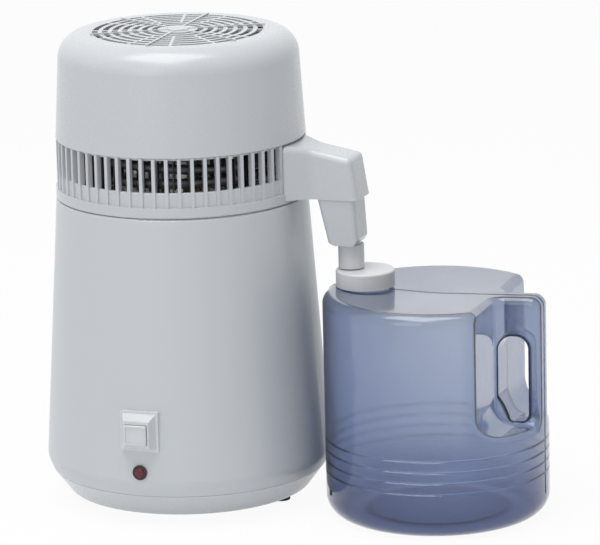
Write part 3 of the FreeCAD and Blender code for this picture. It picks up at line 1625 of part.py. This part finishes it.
def make_filter():
    """Tapered filter cup under the arm, with its spigot, the carbon sachet and the sleeve."""
    cup = new_body("filter_cup")
    top = arm_bottom_height
    half = cup_width / 2
    low_half = half - at.cup_side_slope
    low_in = cup_inner_x + at.cup_inner_slope
    low_out = cup_outer_x + at.cup_outer_slope
    lofted(cup, "PartDesign::AdditiveLoft", [
        (top, rectangle(cup_inner_x, -half, cup_outer_x, half, 4)),
        (cup_bottom, rectangle(low_in, -low_half, low_out, low_half, 4)),
    ])
    pocketed(cup, "XZ_Plane", -half - 1, cup_width + 2, [
        (low_out - at.cup_chamfer, cup_bottom - 1),
        (low_out + 2, cup_bottom - 1),
        (low_out + 2, cup_bottom + at.cup_chamfer + 4),
    ])
    pocketed(cup, "XZ_Plane", -half - 1, cup_width + 2, [
        (low_in - 3, cup_bottom - 1),
        (low_in + at.cup_chamfer * 1.6, cup_bottom - 1),
        (low_in - 3, cup_bottom + at.cup_chamfer * 0.7),
    ])
    wall = at.cup_wall
    neck_half = at.arm_width / 2 - at.ring_wall - at.cup_neck_gap
    neck_end = arm_cavity_end - at.cup_neck_gap
    padded(cup, "XY_Plane", top - 1, at.cup_neck + 1, rectangle(
        cup_neck_start, -neck_half, neck_end, neck_half, 2.5))
    padded_round(cup, "XY_Plane", cup_bottom - at.spigot_length, at.spigot_length + 6,
                 spout_reach, 0.0, at.spigot_radius)
    floor = cup_bottom + wall + 2
    lofted(cup, "PartDesign::SubtractiveLoft", [
        (floor, rectangle(low_in + wall, -low_half + wall, low_out - wall - 0.4,
                          low_half - wall, 2.5)),
        (top + at.cup_neck + 0.5, rectangle(cup_neck_start + wall, -neck_half + wall,
                                            neck_end - wall, neck_half - wall, 2.5)),
    ])
    bored = pocketed_round(cup, "XY_Plane", cup_bottom - at.spigot_length - 1,
                           at.spigot_length + wall + 5, spout_reach, 0.0, at.spigot_bore)
    cup.Tip = bored
    keep(cup, "filter_cup")

    sachet = new_body("carbon_filter")
    gap = at.sachet_gap
    lean = at.cup_inner_slope * at.sachet_height / at.cup_depth
    pillow = padded(sachet, "XY_Plane", floor, at.sachet_height, rectangle(
        low_in + wall + gap, -low_half + wall + gap,
        low_out - wall - lean - gap, low_half - wall - gap, 3))
    filleted(sachet, pillow, 2.5, lambda edge, middle:
             abs(middle.z - pillow_top(float(floor))) < 0.01)
    keep(sachet, "carbon_filter")

    sleeve = new_body("outlet_sleeve")
    high = cup_bottom - at.sleeve_gap
    turned(sleeve, [
        (at.sleeve_bore_radius, high - at.sleeve_length),
        (at.sleeve_outer_radius, high - at.sleeve_length),
        (at.sleeve_outer_radius, high, 0.6),
        (at.sleeve_bore_radius, high),
    ])
    place(sleeve, spout_reach)
    keep(sleeve, "outlet_sleeve")


def pillow_top(floor):
    """Height of the sachet's upper face."""
    return floor + float(at.sachet_height)


def lofted(body, kind, sections):
    """Lofts between outlines at two heights."""
    drawings = []
    for height, corners in sections:
        drawing = sketch_on(body, "XY_Plane", height)
        outline(drawing, corners)
        drawings.append(drawing)
    feature = body.newObject(kind, body.Name + "_loft")
    feature.Profile = drawings[0]
    feature.Sections = drawings[1:]
    feature.Ruled = True
    return feature


# ---------------------------------------------------------------- jug

def jug_form(name, inset):
    """Solid jug form, about its own axis, with every wall moved inwards by inset."""
    body = new_body(name)
    radius = at.jug_radius - inset
    top = jug_height - inset
    lift = at.jug_foot_lift + inset
    foot = at.jug_radius - at.jug_bottom_round - at.jug_foot_inset
    turned(body, [
        (0.0, lift),
        (foot - 4, lift),
        (foot, inset),
        (radius, inset, at.jug_bottom_round - inset),
        (radius, top, at.jug_top_round - inset),
        (0.0, top - at.jug_dish),
    ])
    half = at.handle_thickness / 2 - inset
    reach = pocket_reach - inset
    floor = at.pocket_floor - inset
    beyond = at.jug_radius + 10
    for low in (half, -beyond):
        pocketed(body, "XZ_Plane", low, beyond - half, [
            (reach, top + 20),
            (reach, floor, at.pocket_round + inset),
            (beyond, floor),
            (beyond, top + 20),
        ])
    wall = reach.number
    flank = half.number
    clear = top.number - 8

    def by_the_handle(edge, middle):
        return abs(abs(middle.y) - flank) < 0.01 and wall - 0.01 < middle.x and (
            middle.z < clear and edge.BoundBox.XLength + edge.BoundBox.ZLength > 12
            and middle.x < radius.number - 1)

    hollow = filleted(body, body.Tip, at.pocket_corner + inset, by_the_handle)

    def brim(edge, middle):
        box = edge.BoundBox
        across = math.hypot(middle.x, middle.y)
        if middle.x < wall - 0.01 or middle.z < floor.number - 0.01:
            return False
        if box.ZLength > 80 and abs(middle.y) < 0.01:
            return False
        on_side = across > radius.number - 0.01
        on_top = middle.z > clear
        return on_side or on_top

    rounded = filleted(body, hollow, at.pocket_edge - inset, brim)
    inner = pocket_reach + at.jug_wall - inset
    outer = at.jug_radius - at.grip_depth + inset
    low = finger_low - inset
    high = finger_high + inset
    pocketed(body, "XZ_Plane", -at.handle_thickness, 2 * at.handle_thickness, [
        (inner, high, at.finger_round + inset),
        (outer, high, at.finger_round + inset),
        (outer, low, at.finger_low_round + inset),
        (inner + at.finger_slant / 2, low, at.finger_low_round + inset),
        (inner, low + at.finger_slant, at.finger_low_round + inset),
    ])
    left = inner.number - 0.01
    right = outer.number + 0.01
    bottom = low.number - 0.01
    ceiling = high.number + 0.01

    def finger_rim(edge, middle):
        return (left < middle.x < right and bottom < middle.z < ceiling
                and abs(abs(middle.y) - flank) < 0.01)

    filleted(body, body.Tip, at.finger_edge - inset, finger_rim)
    return body


def make_jug():
    """Blow-moulded jug with a pinched handle, finger hole, moulded rings and a neck."""
    outer = jug_form("jug_outer", 0.0)
    reach = at.jug_radius + at.ridge_height
    inside = at.jug_radius - at.ridge_height
    crest = jug_height + at.ridge_height
    below = jug_height - at.ridge_height
    padded(outer, "XZ_Plane", -at.ridge_width / 2, at.ridge_width, [
        (-reach, at.ridge_foot),
        (-reach, crest, at.jug_top_round + at.ridge_height),
        (0.0, crest - at.jug_dish),
        (reach, crest, at.jug_top_round + at.ridge_height),
        (reach, at.ridge_foot),
        (inside, at.ridge_foot),
        (inside, below, at.jug_top_round - at.ridge_height),
        (0.0, below - at.jug_dish),
        (-inside, below, at.jug_top_round - at.ridge_height),
        (-inside, at.ridge_foot),
    ])
    ring = groove(outer, [
        (at.jug_radius - at.ring_depth, at.ring_low_height),
        (at.jug_radius + 1, at.ring_low_height - 2),
        (at.jug_radius + 1, at.ring_low_height + 2),
    ])
    rings = outer.newObject("PartDesign::LinearPattern", "jug_rings")
    rings.Originals = [ring]
    rings.Direction = (origin_part(outer, "Z_Axis"), [""])
    bind(rings, "Length", at.ring_spacing * (at.ring_count - 1))
    bind(rings, "Occurrences", at.ring_count)
    outer.Tip = rings
    neck_top = cap_top - at.cap_wall
    neck = padded_round(outer, "XY_Plane", jug_height - at.jug_dish - 2,
                        neck_top - jug_height + at.jug_dish + 2,
                        -neck_offset, 0.0, at.neck_radius)
    outer.Tip = neck
    cavity = jug_form("jug_cavity", at.jug_wall)
    bore = padded_round(cavity, "XY_Plane", jug_height - at.jug_dish - at.jug_wall - 4,
                        neck_top - jug_height + at.jug_dish + at.jug_wall + 5,
                        -neck_offset, 0.0, at.neck_radius - at.neck_wall)
    cavity.Tip = bore
    jug = doc.addObject("Part::Cut", "jug_body")
    jug.Base = outer
    jug.Tool = cavity
    place(jug, jug_distance)
    keep(jug, "jug_body")

    cap = new_body("jug_cap")
    inner = at.neck_radius + at.cap_clearance
    turned(cap, [
        (0.0, cap_top - at.cap_wall),
        (inner, cap_top - at.cap_wall),
        (inner, cap_bottom),
        (at.cap_radius, cap_bottom),
        (at.cap_radius, cap_top, at.cap_edge_round),
        (0.0, cap_top),
    ])
    hole = pocketed_round(cap, "XY_Plane", cap_top - at.cap_wall - 1, at.cap_wall + 2,
                          spout_reach - jug_distance + neck_offset, 0.0,
                          at.fill_hole_radius)
    cap.Tip = hole
    place(cap, jug_distance - neck_offset)
    keep(cap, "jug_cap")


# ---------------------------------------------------------------- checks and files

def check_document():
    """Stops the build if any object failed or any piece has no sound solid."""
    doc.recompute()
    for thing in doc.Objects:
        if "Invalid" in thing.State or "Error" in thing.State:
            raise RuntimeError(f"{thing.Name} did not build: {thing.State}")
    for label, thing in made.items():
        shape = thing.Shape
        if shape.isNull() or not shape.isValid() or not shape.Solids:
            raise RuntimeError(f"{label} has no valid solid")


def write_parts():
    """Writes each piece to its own file."""
    os.makedirs("parts", exist_ok=True)
    for label, thing in made.items():
        thing.Shape.exportStep(os.path.join("parts", label + ".step"))


make_outer_casing()
make_base_tray()
make_feet()
make_boiling_chamber()
make_heater()
make_heat_shield()
make_button()
make_lamp()
make_inlet("mains_inlet", "mains_pins", at.inlet_height, casing_radius(at.inlet_height),
           trim_inlet_to_casing)
make_head_seal()
make_lid_plate()
make_head_housing()
make_upper_cover()
make_condenser()
make_fan()
make_inlet("fan_inlet", "fan_pins", fan_inlet_height, cover_radius(fan_inlet_height),
           trim_inlet_to_cover)
make_filter()
make_jug()
check_document()
write_parts()
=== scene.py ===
"""Looks of the counter-top water distiller and its jug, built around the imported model."""

import math

import bpy
from mathutils import Matrix, Vector

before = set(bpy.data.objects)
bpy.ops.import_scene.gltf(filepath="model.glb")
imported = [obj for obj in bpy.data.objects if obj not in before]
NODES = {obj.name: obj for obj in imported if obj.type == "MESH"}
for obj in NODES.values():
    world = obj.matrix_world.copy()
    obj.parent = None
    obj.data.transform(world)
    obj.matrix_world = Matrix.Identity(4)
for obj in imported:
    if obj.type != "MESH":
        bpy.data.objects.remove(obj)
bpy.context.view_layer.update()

MM = 0.001
SHARP_EDGE = math.radians(30)         # edges sharper than this stay crisp
LOW, HIGH = 0.3, 0.7                  # the range of a texture's values that is used
PLAIN = (1, 1, 1)                     # no tint, no stretch
MIX_FIRST, MIX_SECOND, MIX_COLOUR = 6, 7, 2     # the colour sockets of a Mix node

# ---------------------------------------------------------------- material helpers


class Surface:
    """A procedural material: one principled shader with its texture nodes."""

    def __init__(self, name, colour, roughness, metallic=0.0, **sockets):
        self.material = bpy.data.materials.new(name)
        self.material.use_nodes = True
        self.tree = self.material.node_tree
        self.shader = self.tree.nodes["Principled BSDF"]
        self.colour = colour
        self.roughness = roughness
        self.put("Base Color", (*colour, 1.0))
        self.put("Roughness", roughness)
        self.put("Metallic", metallic)
        for socket, value in sockets.items():
            self.put(socket.replace("_", " "), value)
        self.place = self.node("ShaderNodeTexCoord").outputs["Object"]
        self.normal = None

    def node(self, kind, **settings):
        made = self.tree.nodes.new(kind)
        for name, value in settings.items():
            setattr(made, name, value)
        return made

    def link(self, source, target):
        self.tree.links.new(source, target)

    def put(self, socket, value):
        self.shader.inputs[socket].default_value = value

    def stretched(self, stretch):
        mapping = self.node("ShaderNodeMapping")
        mapping.inputs["Scale"].default_value = stretch
        self.link(self.place, mapping.inputs["Vector"])
        return mapping.outputs["Vector"]

    def noise(self, scale, detail, roughness=0.5, stretch=PLAIN):
        noise = self.node("ShaderNodeTexNoise")
        noise.inputs["Scale"].default_value = scale
        noise.inputs["Detail"].default_value = detail
        noise.inputs["Roughness"].default_value = roughness
        self.link(self.stretched(stretch), noise.inputs["Vector"])
        return noise.outputs["Fac"]

    def voronoi(self, scale):
        cells = self.node("ShaderNodeTexVoronoi")
        cells.inputs["Scale"].default_value = scale
        self.link(self.place, cells.inputs["Vector"])
        return cells.outputs["Distance"]

    def wave(self, scale, direction, distortion):
        bands = self.node("ShaderNodeTexWave", wave_type="BANDS", bands_direction=direction)
        bands.inputs["Scale"].default_value = scale
        bands.inputs["Distortion"].default_value = distortion
        self.link(self.place, bands.inputs["Vector"])
        return bands.outputs["Fac"]

    def along(self, axis):
        """Place along one of the object's axes."""
        split = self.node("ShaderNodeSeparateXYZ")
        self.link(self.place, split.inputs["Vector"])
        return split.outputs[axis]

    def filtered(self, colour, tint):
        """Colour times another colour."""
        product = self.node("ShaderNodeVectorMath", operation="MULTIPLY")
        self.link(colour, product.inputs[0])
        self.link(tint, product.inputs[1])
        return product.outputs["Vector"]

    def spread(self, source, low, high, to_low=0.0, to_high=1.0):
        """Source from low..high to to_low..to_high, held at the ends."""
        spread = self.node("ShaderNodeMapRange", clamp=True, interpolation_type="SMOOTHSTEP")
        spread.inputs["From Min"].default_value = low
        spread.inputs["From Max"].default_value = high
        spread.inputs["To Min"].default_value = to_low
        spread.inputs["To Max"].default_value = to_high
        self.link(source, spread.inputs["Value"])
        return spread.outputs["Result"]

    def blended(self, factor, first, second):
        """Colour that goes from first to second as the factor goes from 0 to 1."""
        mix = self.node("ShaderNodeMix", data_type="RGBA")
        for index, value in ((MIX_FIRST, first), (MIX_SECOND, second)):
            if isinstance(value, tuple):
                mix.inputs[index].default_value = (*value, 1.0)
            else:
                self.link(value, mix.inputs[index])
        self.link(factor, mix.inputs["Factor"])
        return mix.outputs[MIX_COLOUR]

    def faded(self, axis, start, end, first, second):
        """Colour that goes from first to second between two places on an axis, in metres."""
        return self.blended(self.spread(self.along(axis), start, end), first, second)

    def mottled(self, source, share, tint=PLAIN):
        """The material's colour, varied by a share of itself with the source."""
        dark, light = (
            tuple(min(1.0, part * (1 + step * weight)) for part, weight in zip(self.colour, tint))
            for step in (-share, share))
        return self.blended(self.spread(source, LOW, HIGH), dark, light)

    def paint(self, colour):
        self.link(colour, self.shader.inputs["Base Color"])

    def mottle(self, source, share, tint=PLAIN):
        """Base colour that varies by a share of itself with the source."""
        self.paint(self.mottled(source, share, tint))

    def scuff(self, source, amount):
        """Roughness that varies by an amount with the source."""
        varied = self.spread(source, LOW, HIGH, self.roughness - amount, self.roughness + amount)
        self.link(varied, self.shader.inputs["Roughness"])

    def bump(self, source, depth, strength):
        """Relief of the source, with its depth in metres. Calls add up."""
        relief = self.node("ShaderNodeBump")
        relief.inputs["Strength"].default_value = strength
        relief.inputs["Distance"].default_value = depth
        self.link(source, relief.inputs["Height"])
        if self.normal is not None:
            self.link(self.normal, relief.inputs["Normal"])
        self.normal = relief.outputs["Normal"]
        self.link(self.normal, self.shader.inputs["Normal"])

    def absorb(self, colour, density):
        """Tint that deepens with the way the light goes through the wall."""
        volume = self.node("ShaderNodeVolumeAbsorption")
        volume.inputs["Color"].default_value = (*colour, 1.0)
        volume.inputs["Density"].default_value = density
        self.link(volume.outputs["Volume"], self.tree.nodes["Material Output"].inputs["Volume"])

    def on(self, *names):
        """Gives the material to CAD nodes."""
        for name in names:
            mesh = NODES[name].data
            mesh.materials.clear()
            mesh.materials.append(self.material)


# ---------------------------------------------------------------- materials

enamel = Surface("white_enamel", (0.605, 0.635, 0.663), 0.34, Coat_Weight=0.25,
                 Coat_Roughness=0.18)
enamel.bump(enamel.noise(700, 2), depth=0.04 * MM, strength=0.4)
enamel.mottle(enamel.noise(6, 2), share=0.004)
enamel.scuff(enamel.noise(900, 2), amount=0.02)
enamel.on("outer_casing")

plastic = Surface("white_plastic", (0.60, 0.626, 0.652), 0.26, Coat_Weight=0.2,
                  Coat_Roughness=0.14)
plastic.bump(plastic.noise(1500, 2), depth=0.02 * MM, strength=0.3)
plastic.mottle(plastic.noise(8, 2), share=0.004)
plastic.scuff(plastic.noise(1200, 2), amount=0.02)
plastic.on("head_housing", "upper_cover", "filter_cup", "base_tray")

bezel = Surface("bezel_plastic", (0.69, 0.71, 0.73), 0.22)
bezel.bump(bezel.noise(1800, 2), depth=0.02 * MM, strength=0.3)
bezel.mottle(bezel.noise(20, 2), share=0.006)
bezel.scuff(bezel.noise(900, 2), amount=0.03)
bezel.on("button_bezel", "push_button")

cap = Surface("white_cap", (0.75, 0.765, 0.785), 0.34)
cap.bump(cap.noise(1200, 2), depth=0.03 * MM, strength=0.4)
cap.mottle(cap.noise(20, 2), share=0.006)
cap.scuff(cap.noise(700, 2), amount=0.03)
cap.on("jug_cap")

feet = Surface("black_rubber", (0.025, 0.025, 0.027), 0.75)
feet.bump(feet.noise(1600, 3), depth=0.08 * MM, strength=0.7)
feet.mottle(feet.noise(90, 3), share=0.25)
feet.scuff(feet.noise(120, 3), amount=0.08)
feet.on("rubber_feet")

zinc = Surface("zinc_steel", (0.50, 0.50, 0.48), 0.38, 1.0)
zinc.mottle(zinc.voronoi(260), share=0.10, tint=(1, 0.9, 0.6))
zinc.scuff(zinc.noise(300, 4), amount=0.10)
zinc.bump(zinc.noise(1200, 3), depth=0.03 * MM, strength=0.4)
zinc.on("foot_screws", "tray_screws", "heater_clamp", "heater_nut", "heat_shield", "lid_nuts",
        "cover_screws", "fan_bracket", "fan_motor", "fan_shaft")

stainless = Surface("stainless", (0.70, 0.69, 0.67), 0.30, 1.0, Anisotropic=0.5)
stainless.scuff(stainless.noise(60, 5, 0.6, (1, 1, 14)), amount=0.07)
stainless.mottle(stainless.noise(30, 4), share=0.04)
stainless.bump(stainless.noise(500, 3, 0.5, (0.3, 0.3, 6)), depth=0.02 * MM, strength=0.5)
stainless.on("boiling_chamber", "lid_plate")

# Steel much darker than its own tone: painted shade for the coil seen through the head's vents.
coil = Surface("rough_steel_painted_shade", (0.16, 0.165, 0.17), 0.55, 1.0)
coil.scuff(coil.noise(200, 4), amount=0.08)
coil.mottle(coil.noise(60, 4), share=0.12)
coil.bump(coil.noise(900, 3), depth=0.03 * MM, strength=0.4)
coil.on("condenser_coil")

# Aluminium much darker than its own tone: painted shade for the fins seen through the head's
# vents; the heater plate shares it.
fins = Surface("fin_aluminium", (0.13, 0.135, 0.14), 0.55, 1.0)
fins.scuff(fins.noise(400, 4, 0.6, (1, 1, 8)), amount=0.10)
fins.mottle(fins.noise(50, 3), share=0.06)
fins.bump(fins.noise(900, 3, 0.5, (1, 1, 6)), depth=0.02 * MM, strength=0.4)
fins.on("condenser_fins", "heater_plate")

sheath = Surface("element_sheath", (0.20, 0.21, 0.19), 0.55, 0.8)
sheath.mottle(sheath.noise(120, 4), share=0.35, tint=(1, 0.8, 0.5))
sheath.scuff(sheath.noise(250, 4), amount=0.12)
sheath.bump(sheath.noise(1100, 3), depth=0.05 * MM, strength=0.6)
sheath.on("heating_element")

black = Surface("black_plastic", (0.022, 0.022, 0.024), 0.45)
black.mottle(black.noise(120, 3), share=0.2)
black.scuff(black.noise(300, 3), amount=0.08)
black.bump(black.noise(1700, 2), depth=0.05 * MM, strength=0.6)
black.on("mains_inlet", "fan_inlet", "switch_body", "control_thermostat", "overheat_cutout",
         "lamp_body")

# Brass darker than its own tone, as painted shade for the steam fitting seen through the head's
# vents; the pins share it.
brass = Surface("contact_brass", (0.26, 0.21, 0.13), 0.45, 1.0)
brass.mottle(brass.noise(160, 4), share=0.10, tint=(0.6, 0.9, 1))
brass.scuff(brass.noise(240, 4), amount=0.10)
brass.bump(brass.noise(900, 3), depth=0.03 * MM, strength=0.4)
brass.on("mains_pins", "fan_pins", "steam_fitting")

ring = Surface("dark_red_plastic", (0.042, 0.010, 0.016), 0.30)
ring.mottle(ring.noise(300, 3), share=0.25)
ring.scuff(ring.noise(500, 3), amount=0.06)
ring.bump(ring.noise(1800, 2), depth=0.03 * MM, strength=0.5)
ring.on("lamp_bezel")

lens = Surface("red_lens", (0.15, 0.012, 0.022), 0.16, Transmission_Weight=0.2, IOR=1.49)
lens.mottle(lens.noise(350, 3), share=0.12)
lens.scuff(lens.noise(500, 3), amount=0.04)
lens.bump(lens.voronoi(1400), depth=0.1 * MM, strength=0.4)
lens.on("lamp_lens")

seal = Surface("silicone", (0.74, 0.74, 0.71), 0.50, Subsurface_Weight=0.1)
seal.mottle(seal.noise(70, 3), share=0.03)
seal.scuff(seal.noise(300, 3), amount=0.06)
seal.bump(seal.noise(1500, 2), depth=0.04 * MM, strength=0.5)
seal.on("head_seal")

grey = Surface("grey_plastic", (0.10, 0.105, 0.11), 0.42)
grey.mottle(grey.noise(120, 3), share=0.10)
grey.scuff(grey.noise(260, 3), amount=0.07)
grey.bump(grey.noise(1500, 2), depth=0.04 * MM, strength=0.5)
grey.on("fan_blade")

fabric = Surface("filter_fabric", (0.86, 0.86, 0.83), 0.9, Sheen_Weight=0.3)
fabric.mottle(fabric.noise(240, 4), share=0.08)
fabric.bump(fabric.wave(900, "X", 1.5), depth=0.15 * MM, strength=0.6)
fabric.bump(fabric.wave(900, "Y", 1.5), depth=0.15 * MM, strength=0.6)
fabric.on("carbon_filter")

tube = Surface("clear_tube", (0.76, 0.77, 0.79), 0.22, Transmission_Weight=0.15, IOR=1.42)
tube.mottle(tube.noise(90, 3), share=0.03)
tube.scuff(tube.noise(200, 3), amount=0.05)
tube.bump(tube.noise(900, 2), depth=0.05 * MM, strength=0.4)
tube.on("outlet_sleeve")

jug = Surface("tinted_plastic", (0.90, 0.93, 0.955), 0.11, Transmission_Weight=0.975, IOR=1.42,
              Coat_Weight=0.5, Coat_Roughness=0.06)

# The jug is darker towards its foot, partly for its thicker base and partly as painted shade of
# the table seen through it. Its side next to the casing, its top face and its handle pockets carry
# painted shade.
# Darker below mid-height, partly painted shade of what is seen through the wall; above it only a
# random tone.
upper = jug.faded("Z", 0.060, 0.140, (0.76, 0.82, 0.90), jug.mottled(jug.noise(11, 3), share=0.02))
# Darker still at the foot: partly the thicker base, partly painted shade of the table seen through
# the wall.
tinted = jug.faded("Z", 0.003, 0.056, (0.26, 0.315, 0.50), upper)
# Painted shade and painted reflection of the casing's shaded side, darkening the jug next to the
# distiller.
painted_shade_near_casing = jug.faded("X", 0.115, 0.215, (0.66, 0.71, 0.82), PLAIN)
# Painted shade greying the jug's shoulder and top face, holding down the light from above.
top_painted_shade = jug.faded("Z", 0.170, 0.182, PLAIN, (0.86, 0.86, 0.84))
# Painted shade greying the handle and its finger pockets above the pocket floor.
pocket_side_painted_shade = jug.faded("X", 0.254, 0.270, PLAIN, (0.83, 0.86, 0.91))
pockets_painted_shade = jug.faded("Z", 0.066, 0.086, PLAIN, pocket_side_painted_shade)
# Multiplies the painted shades into the jug's colour.
for tint in (painted_shade_near_casing, top_painted_shade, pockets_painted_shade):
    tinted = jug.filtered(tinted, tint)
jug.paint(tinted)

jug.scuff(jug.noise(60, 3), amount=0.02)
jug.bump(jug.noise(28, 2), depth=1.2 * MM, strength=0.30)
jug.bump(jug.noise(9, 2, 0.5, (1, 1, 0.4)), depth=3.0 * MM, strength=0.30)
jug.absorb((0.04, 0.14, 0.42), density=205)
jug.on("jug_body")

for node in NODES.values():
    node.data.set_sharp_from_angle(angle=SHARP_EDGE)

# ---------------------------------------------------------------- stage, light and camera

FLOOR_HALF = 12.0
FLOOR_COLOUR = (0.90, 0.90, 0.91, 1)
FLOOR_GLOW = 0.94                     # share of white in what the camera sees of the floor
WHITE = (1, 1, 1, 1)
WORLD_COLOUR = (0.97, 0.98, 1.0, 1)
WORLD_LIGHT = 0.37

MIDDLE = (0.08, 0, 0.2)               # what the lamps face
LAMPS = (                             # name, place, side of its square and power
    ("key", (-0.5, -3.2, 1.1), 1.8, 10),
    ("front", (0.1, -1.9, 2.4), 1.4, 6.5),
    ("top", (-0.15, -0.5, 2.8), 2.0, 51),
)

FRAME_WIDE, FRAME_TALL = 600, 545     # the frame in pixels
FOCAL = 4502.0                        # focal length in pixels
FOOT = (191.3, 490.8)                 # the pixel that the origin lies at
PIXEL = 0.825 * MM                    # what a pixel covers at the origin
AZIMUTH, ELEVATION, ROLL = (math.radians(angle) for angle in (18.9, 13.542, 1.341))
SENSOR = 36                           # width of the sensor in millimetres
FAR = 60                              # how far the camera sees, in metres


def see_white(tree, shown, lit):
    """Shader that cameras, mirrors and glass see as shown, and that lights the rest as lit."""
    path = tree.nodes.new("ShaderNodeLightPath")
    total = path.outputs["Is Camera Ray"]
    for kind in ("Is Glossy Ray", "Is Transmission Ray"):
        either = tree.nodes.new("ShaderNodeMath")
        either.operation = "MAXIMUM"
        tree.links.new(total, either.inputs[0])
        tree.links.new(path.outputs[kind], either.inputs[1])
        total = either.outputs["Value"]
    mix = tree.nodes.new("ShaderNodeMixShader")
    tree.links.new(total, mix.inputs["Fac"])
    tree.links.new(lit, mix.inputs[1])
    tree.links.new(shown, mix.inputs[2])
    return mix.outputs["Shader"]


def make_floor():
    """Wide pale floor that keeps soft shadows."""
    sides = ((-1, -1), (1, -1), (1, 1), (-1, 1))
    corners = [(x * FLOOR_HALF, y * FLOOR_HALF, 0) for x, y in sides]
    mesh = bpy.data.meshes.new("floor")
    mesh.from_pydata(corners, [], [(0, 1, 2, 3)])
    floor = bpy.data.objects.new("floor", mesh)
    bpy.context.scene.collection.objects.link(floor)
    material = bpy.data.materials.new("pale_floor")
    material.use_nodes = True
    tree = material.node_tree
    tree.nodes.remove(tree.nodes["Principled BSDF"])
    diffuse = tree.nodes.new("ShaderNodeBsdfDiffuse")
    diffuse.inputs["Color"].default_value = FLOOR_COLOUR
    glow = tree.nodes.new("ShaderNodeEmission")
    glow.inputs["Color"].default_value = WHITE
    lifted = tree.nodes.new("ShaderNodeMixShader")
    lifted.inputs["Fac"].default_value = FLOOR_GLOW
    tree.links.new(diffuse.outputs["BSDF"], lifted.inputs[1])
    tree.links.new(glow.outputs["Emission"], lifted.inputs[2])
    seen = see_white(tree, lifted.outputs["Shader"], diffuse.outputs["BSDF"])
    tree.links.new(seen, tree.nodes["Material Output"].inputs["Surface"])
    mesh.materials.append(material)


def make_world():
    """White surround, and the even light it gives."""
    world = bpy.data.worlds.new("surround")
    world.use_nodes = True
    tree = world.node_tree
    lit = tree.nodes["Background"]
    lit.inputs["Color"].default_value = WORLD_COLOUR
    lit.inputs["Strength"].default_value = WORLD_LIGHT
    shown = tree.nodes.new("ShaderNodeBackground")
    shown.inputs["Color"].default_value = WHITE
    shown.inputs["Strength"].default_value = 1.0
    seen = see_white(tree, shown.outputs["Background"], lit.outputs["Background"])
    tree.links.new(seen, tree.nodes["World Output"].inputs["Surface"])
    bpy.context.scene.world = world


def make_lamp(name, place, size, power):
    """Square soft box that faces the object's middle."""
    light = bpy.data.lights.new(name, "AREA")
    light.shape = "SQUARE"
    light.size = size
    light.energy = power
    lamp = bpy.data.objects.new(name, light)
    lamp.location = place
    lamp.rotation_euler = (Vector(MIDDLE) - Vector(place)).to_track_quat("-Z", "Y").to_euler()
    bpy.context.scene.collection.objects.link(lamp)


def make_camera():
    """Long lens a little above the object, turned to its right and rolled slightly."""
    distance = FOCAL * PIXEL
    back = Vector((math.sin(AZIMUTH) * math.cos(ELEVATION),
                   -math.cos(AZIMUTH) * math.cos(ELEVATION), math.sin(ELEVATION)))
    level = Vector((math.cos(AZIMUTH), math.sin(AZIMUTH), 0))
    upright = back.cross(level)
    right = math.cos(ROLL) * level - math.sin(ROLL) * upright
    up = math.sin(ROLL) * level + math.cos(ROLL) * upright
    across = (FOOT[0] - FRAME_WIDE / 2) * PIXEL
    rise = (FRAME_TALL / 2 - FOOT[1]) * PIXEL
    place = distance * back - across * right - rise * up
    data = bpy.data.cameras.new("camera")
    data.sensor_width = SENSOR
    data.lens = FOCAL / FRAME_WIDE * SENSOR
    data.clip_end = FAR
    camera = bpy.data.objects.new("camera", data)
    camera.matrix_world = Matrix.Translation(place) @ Matrix(
        (right, up, back)).transposed().to_4x4()
    bpy.context.scene.collection.objects.link(camera)
    bpy.context.scene.camera = camera


make_floor()
make_world()
for lamp in LAMPS:
    make_lamp(*lamp)
make_camera()
bpy.context.scene.view_settings.view_transform = "Standard"
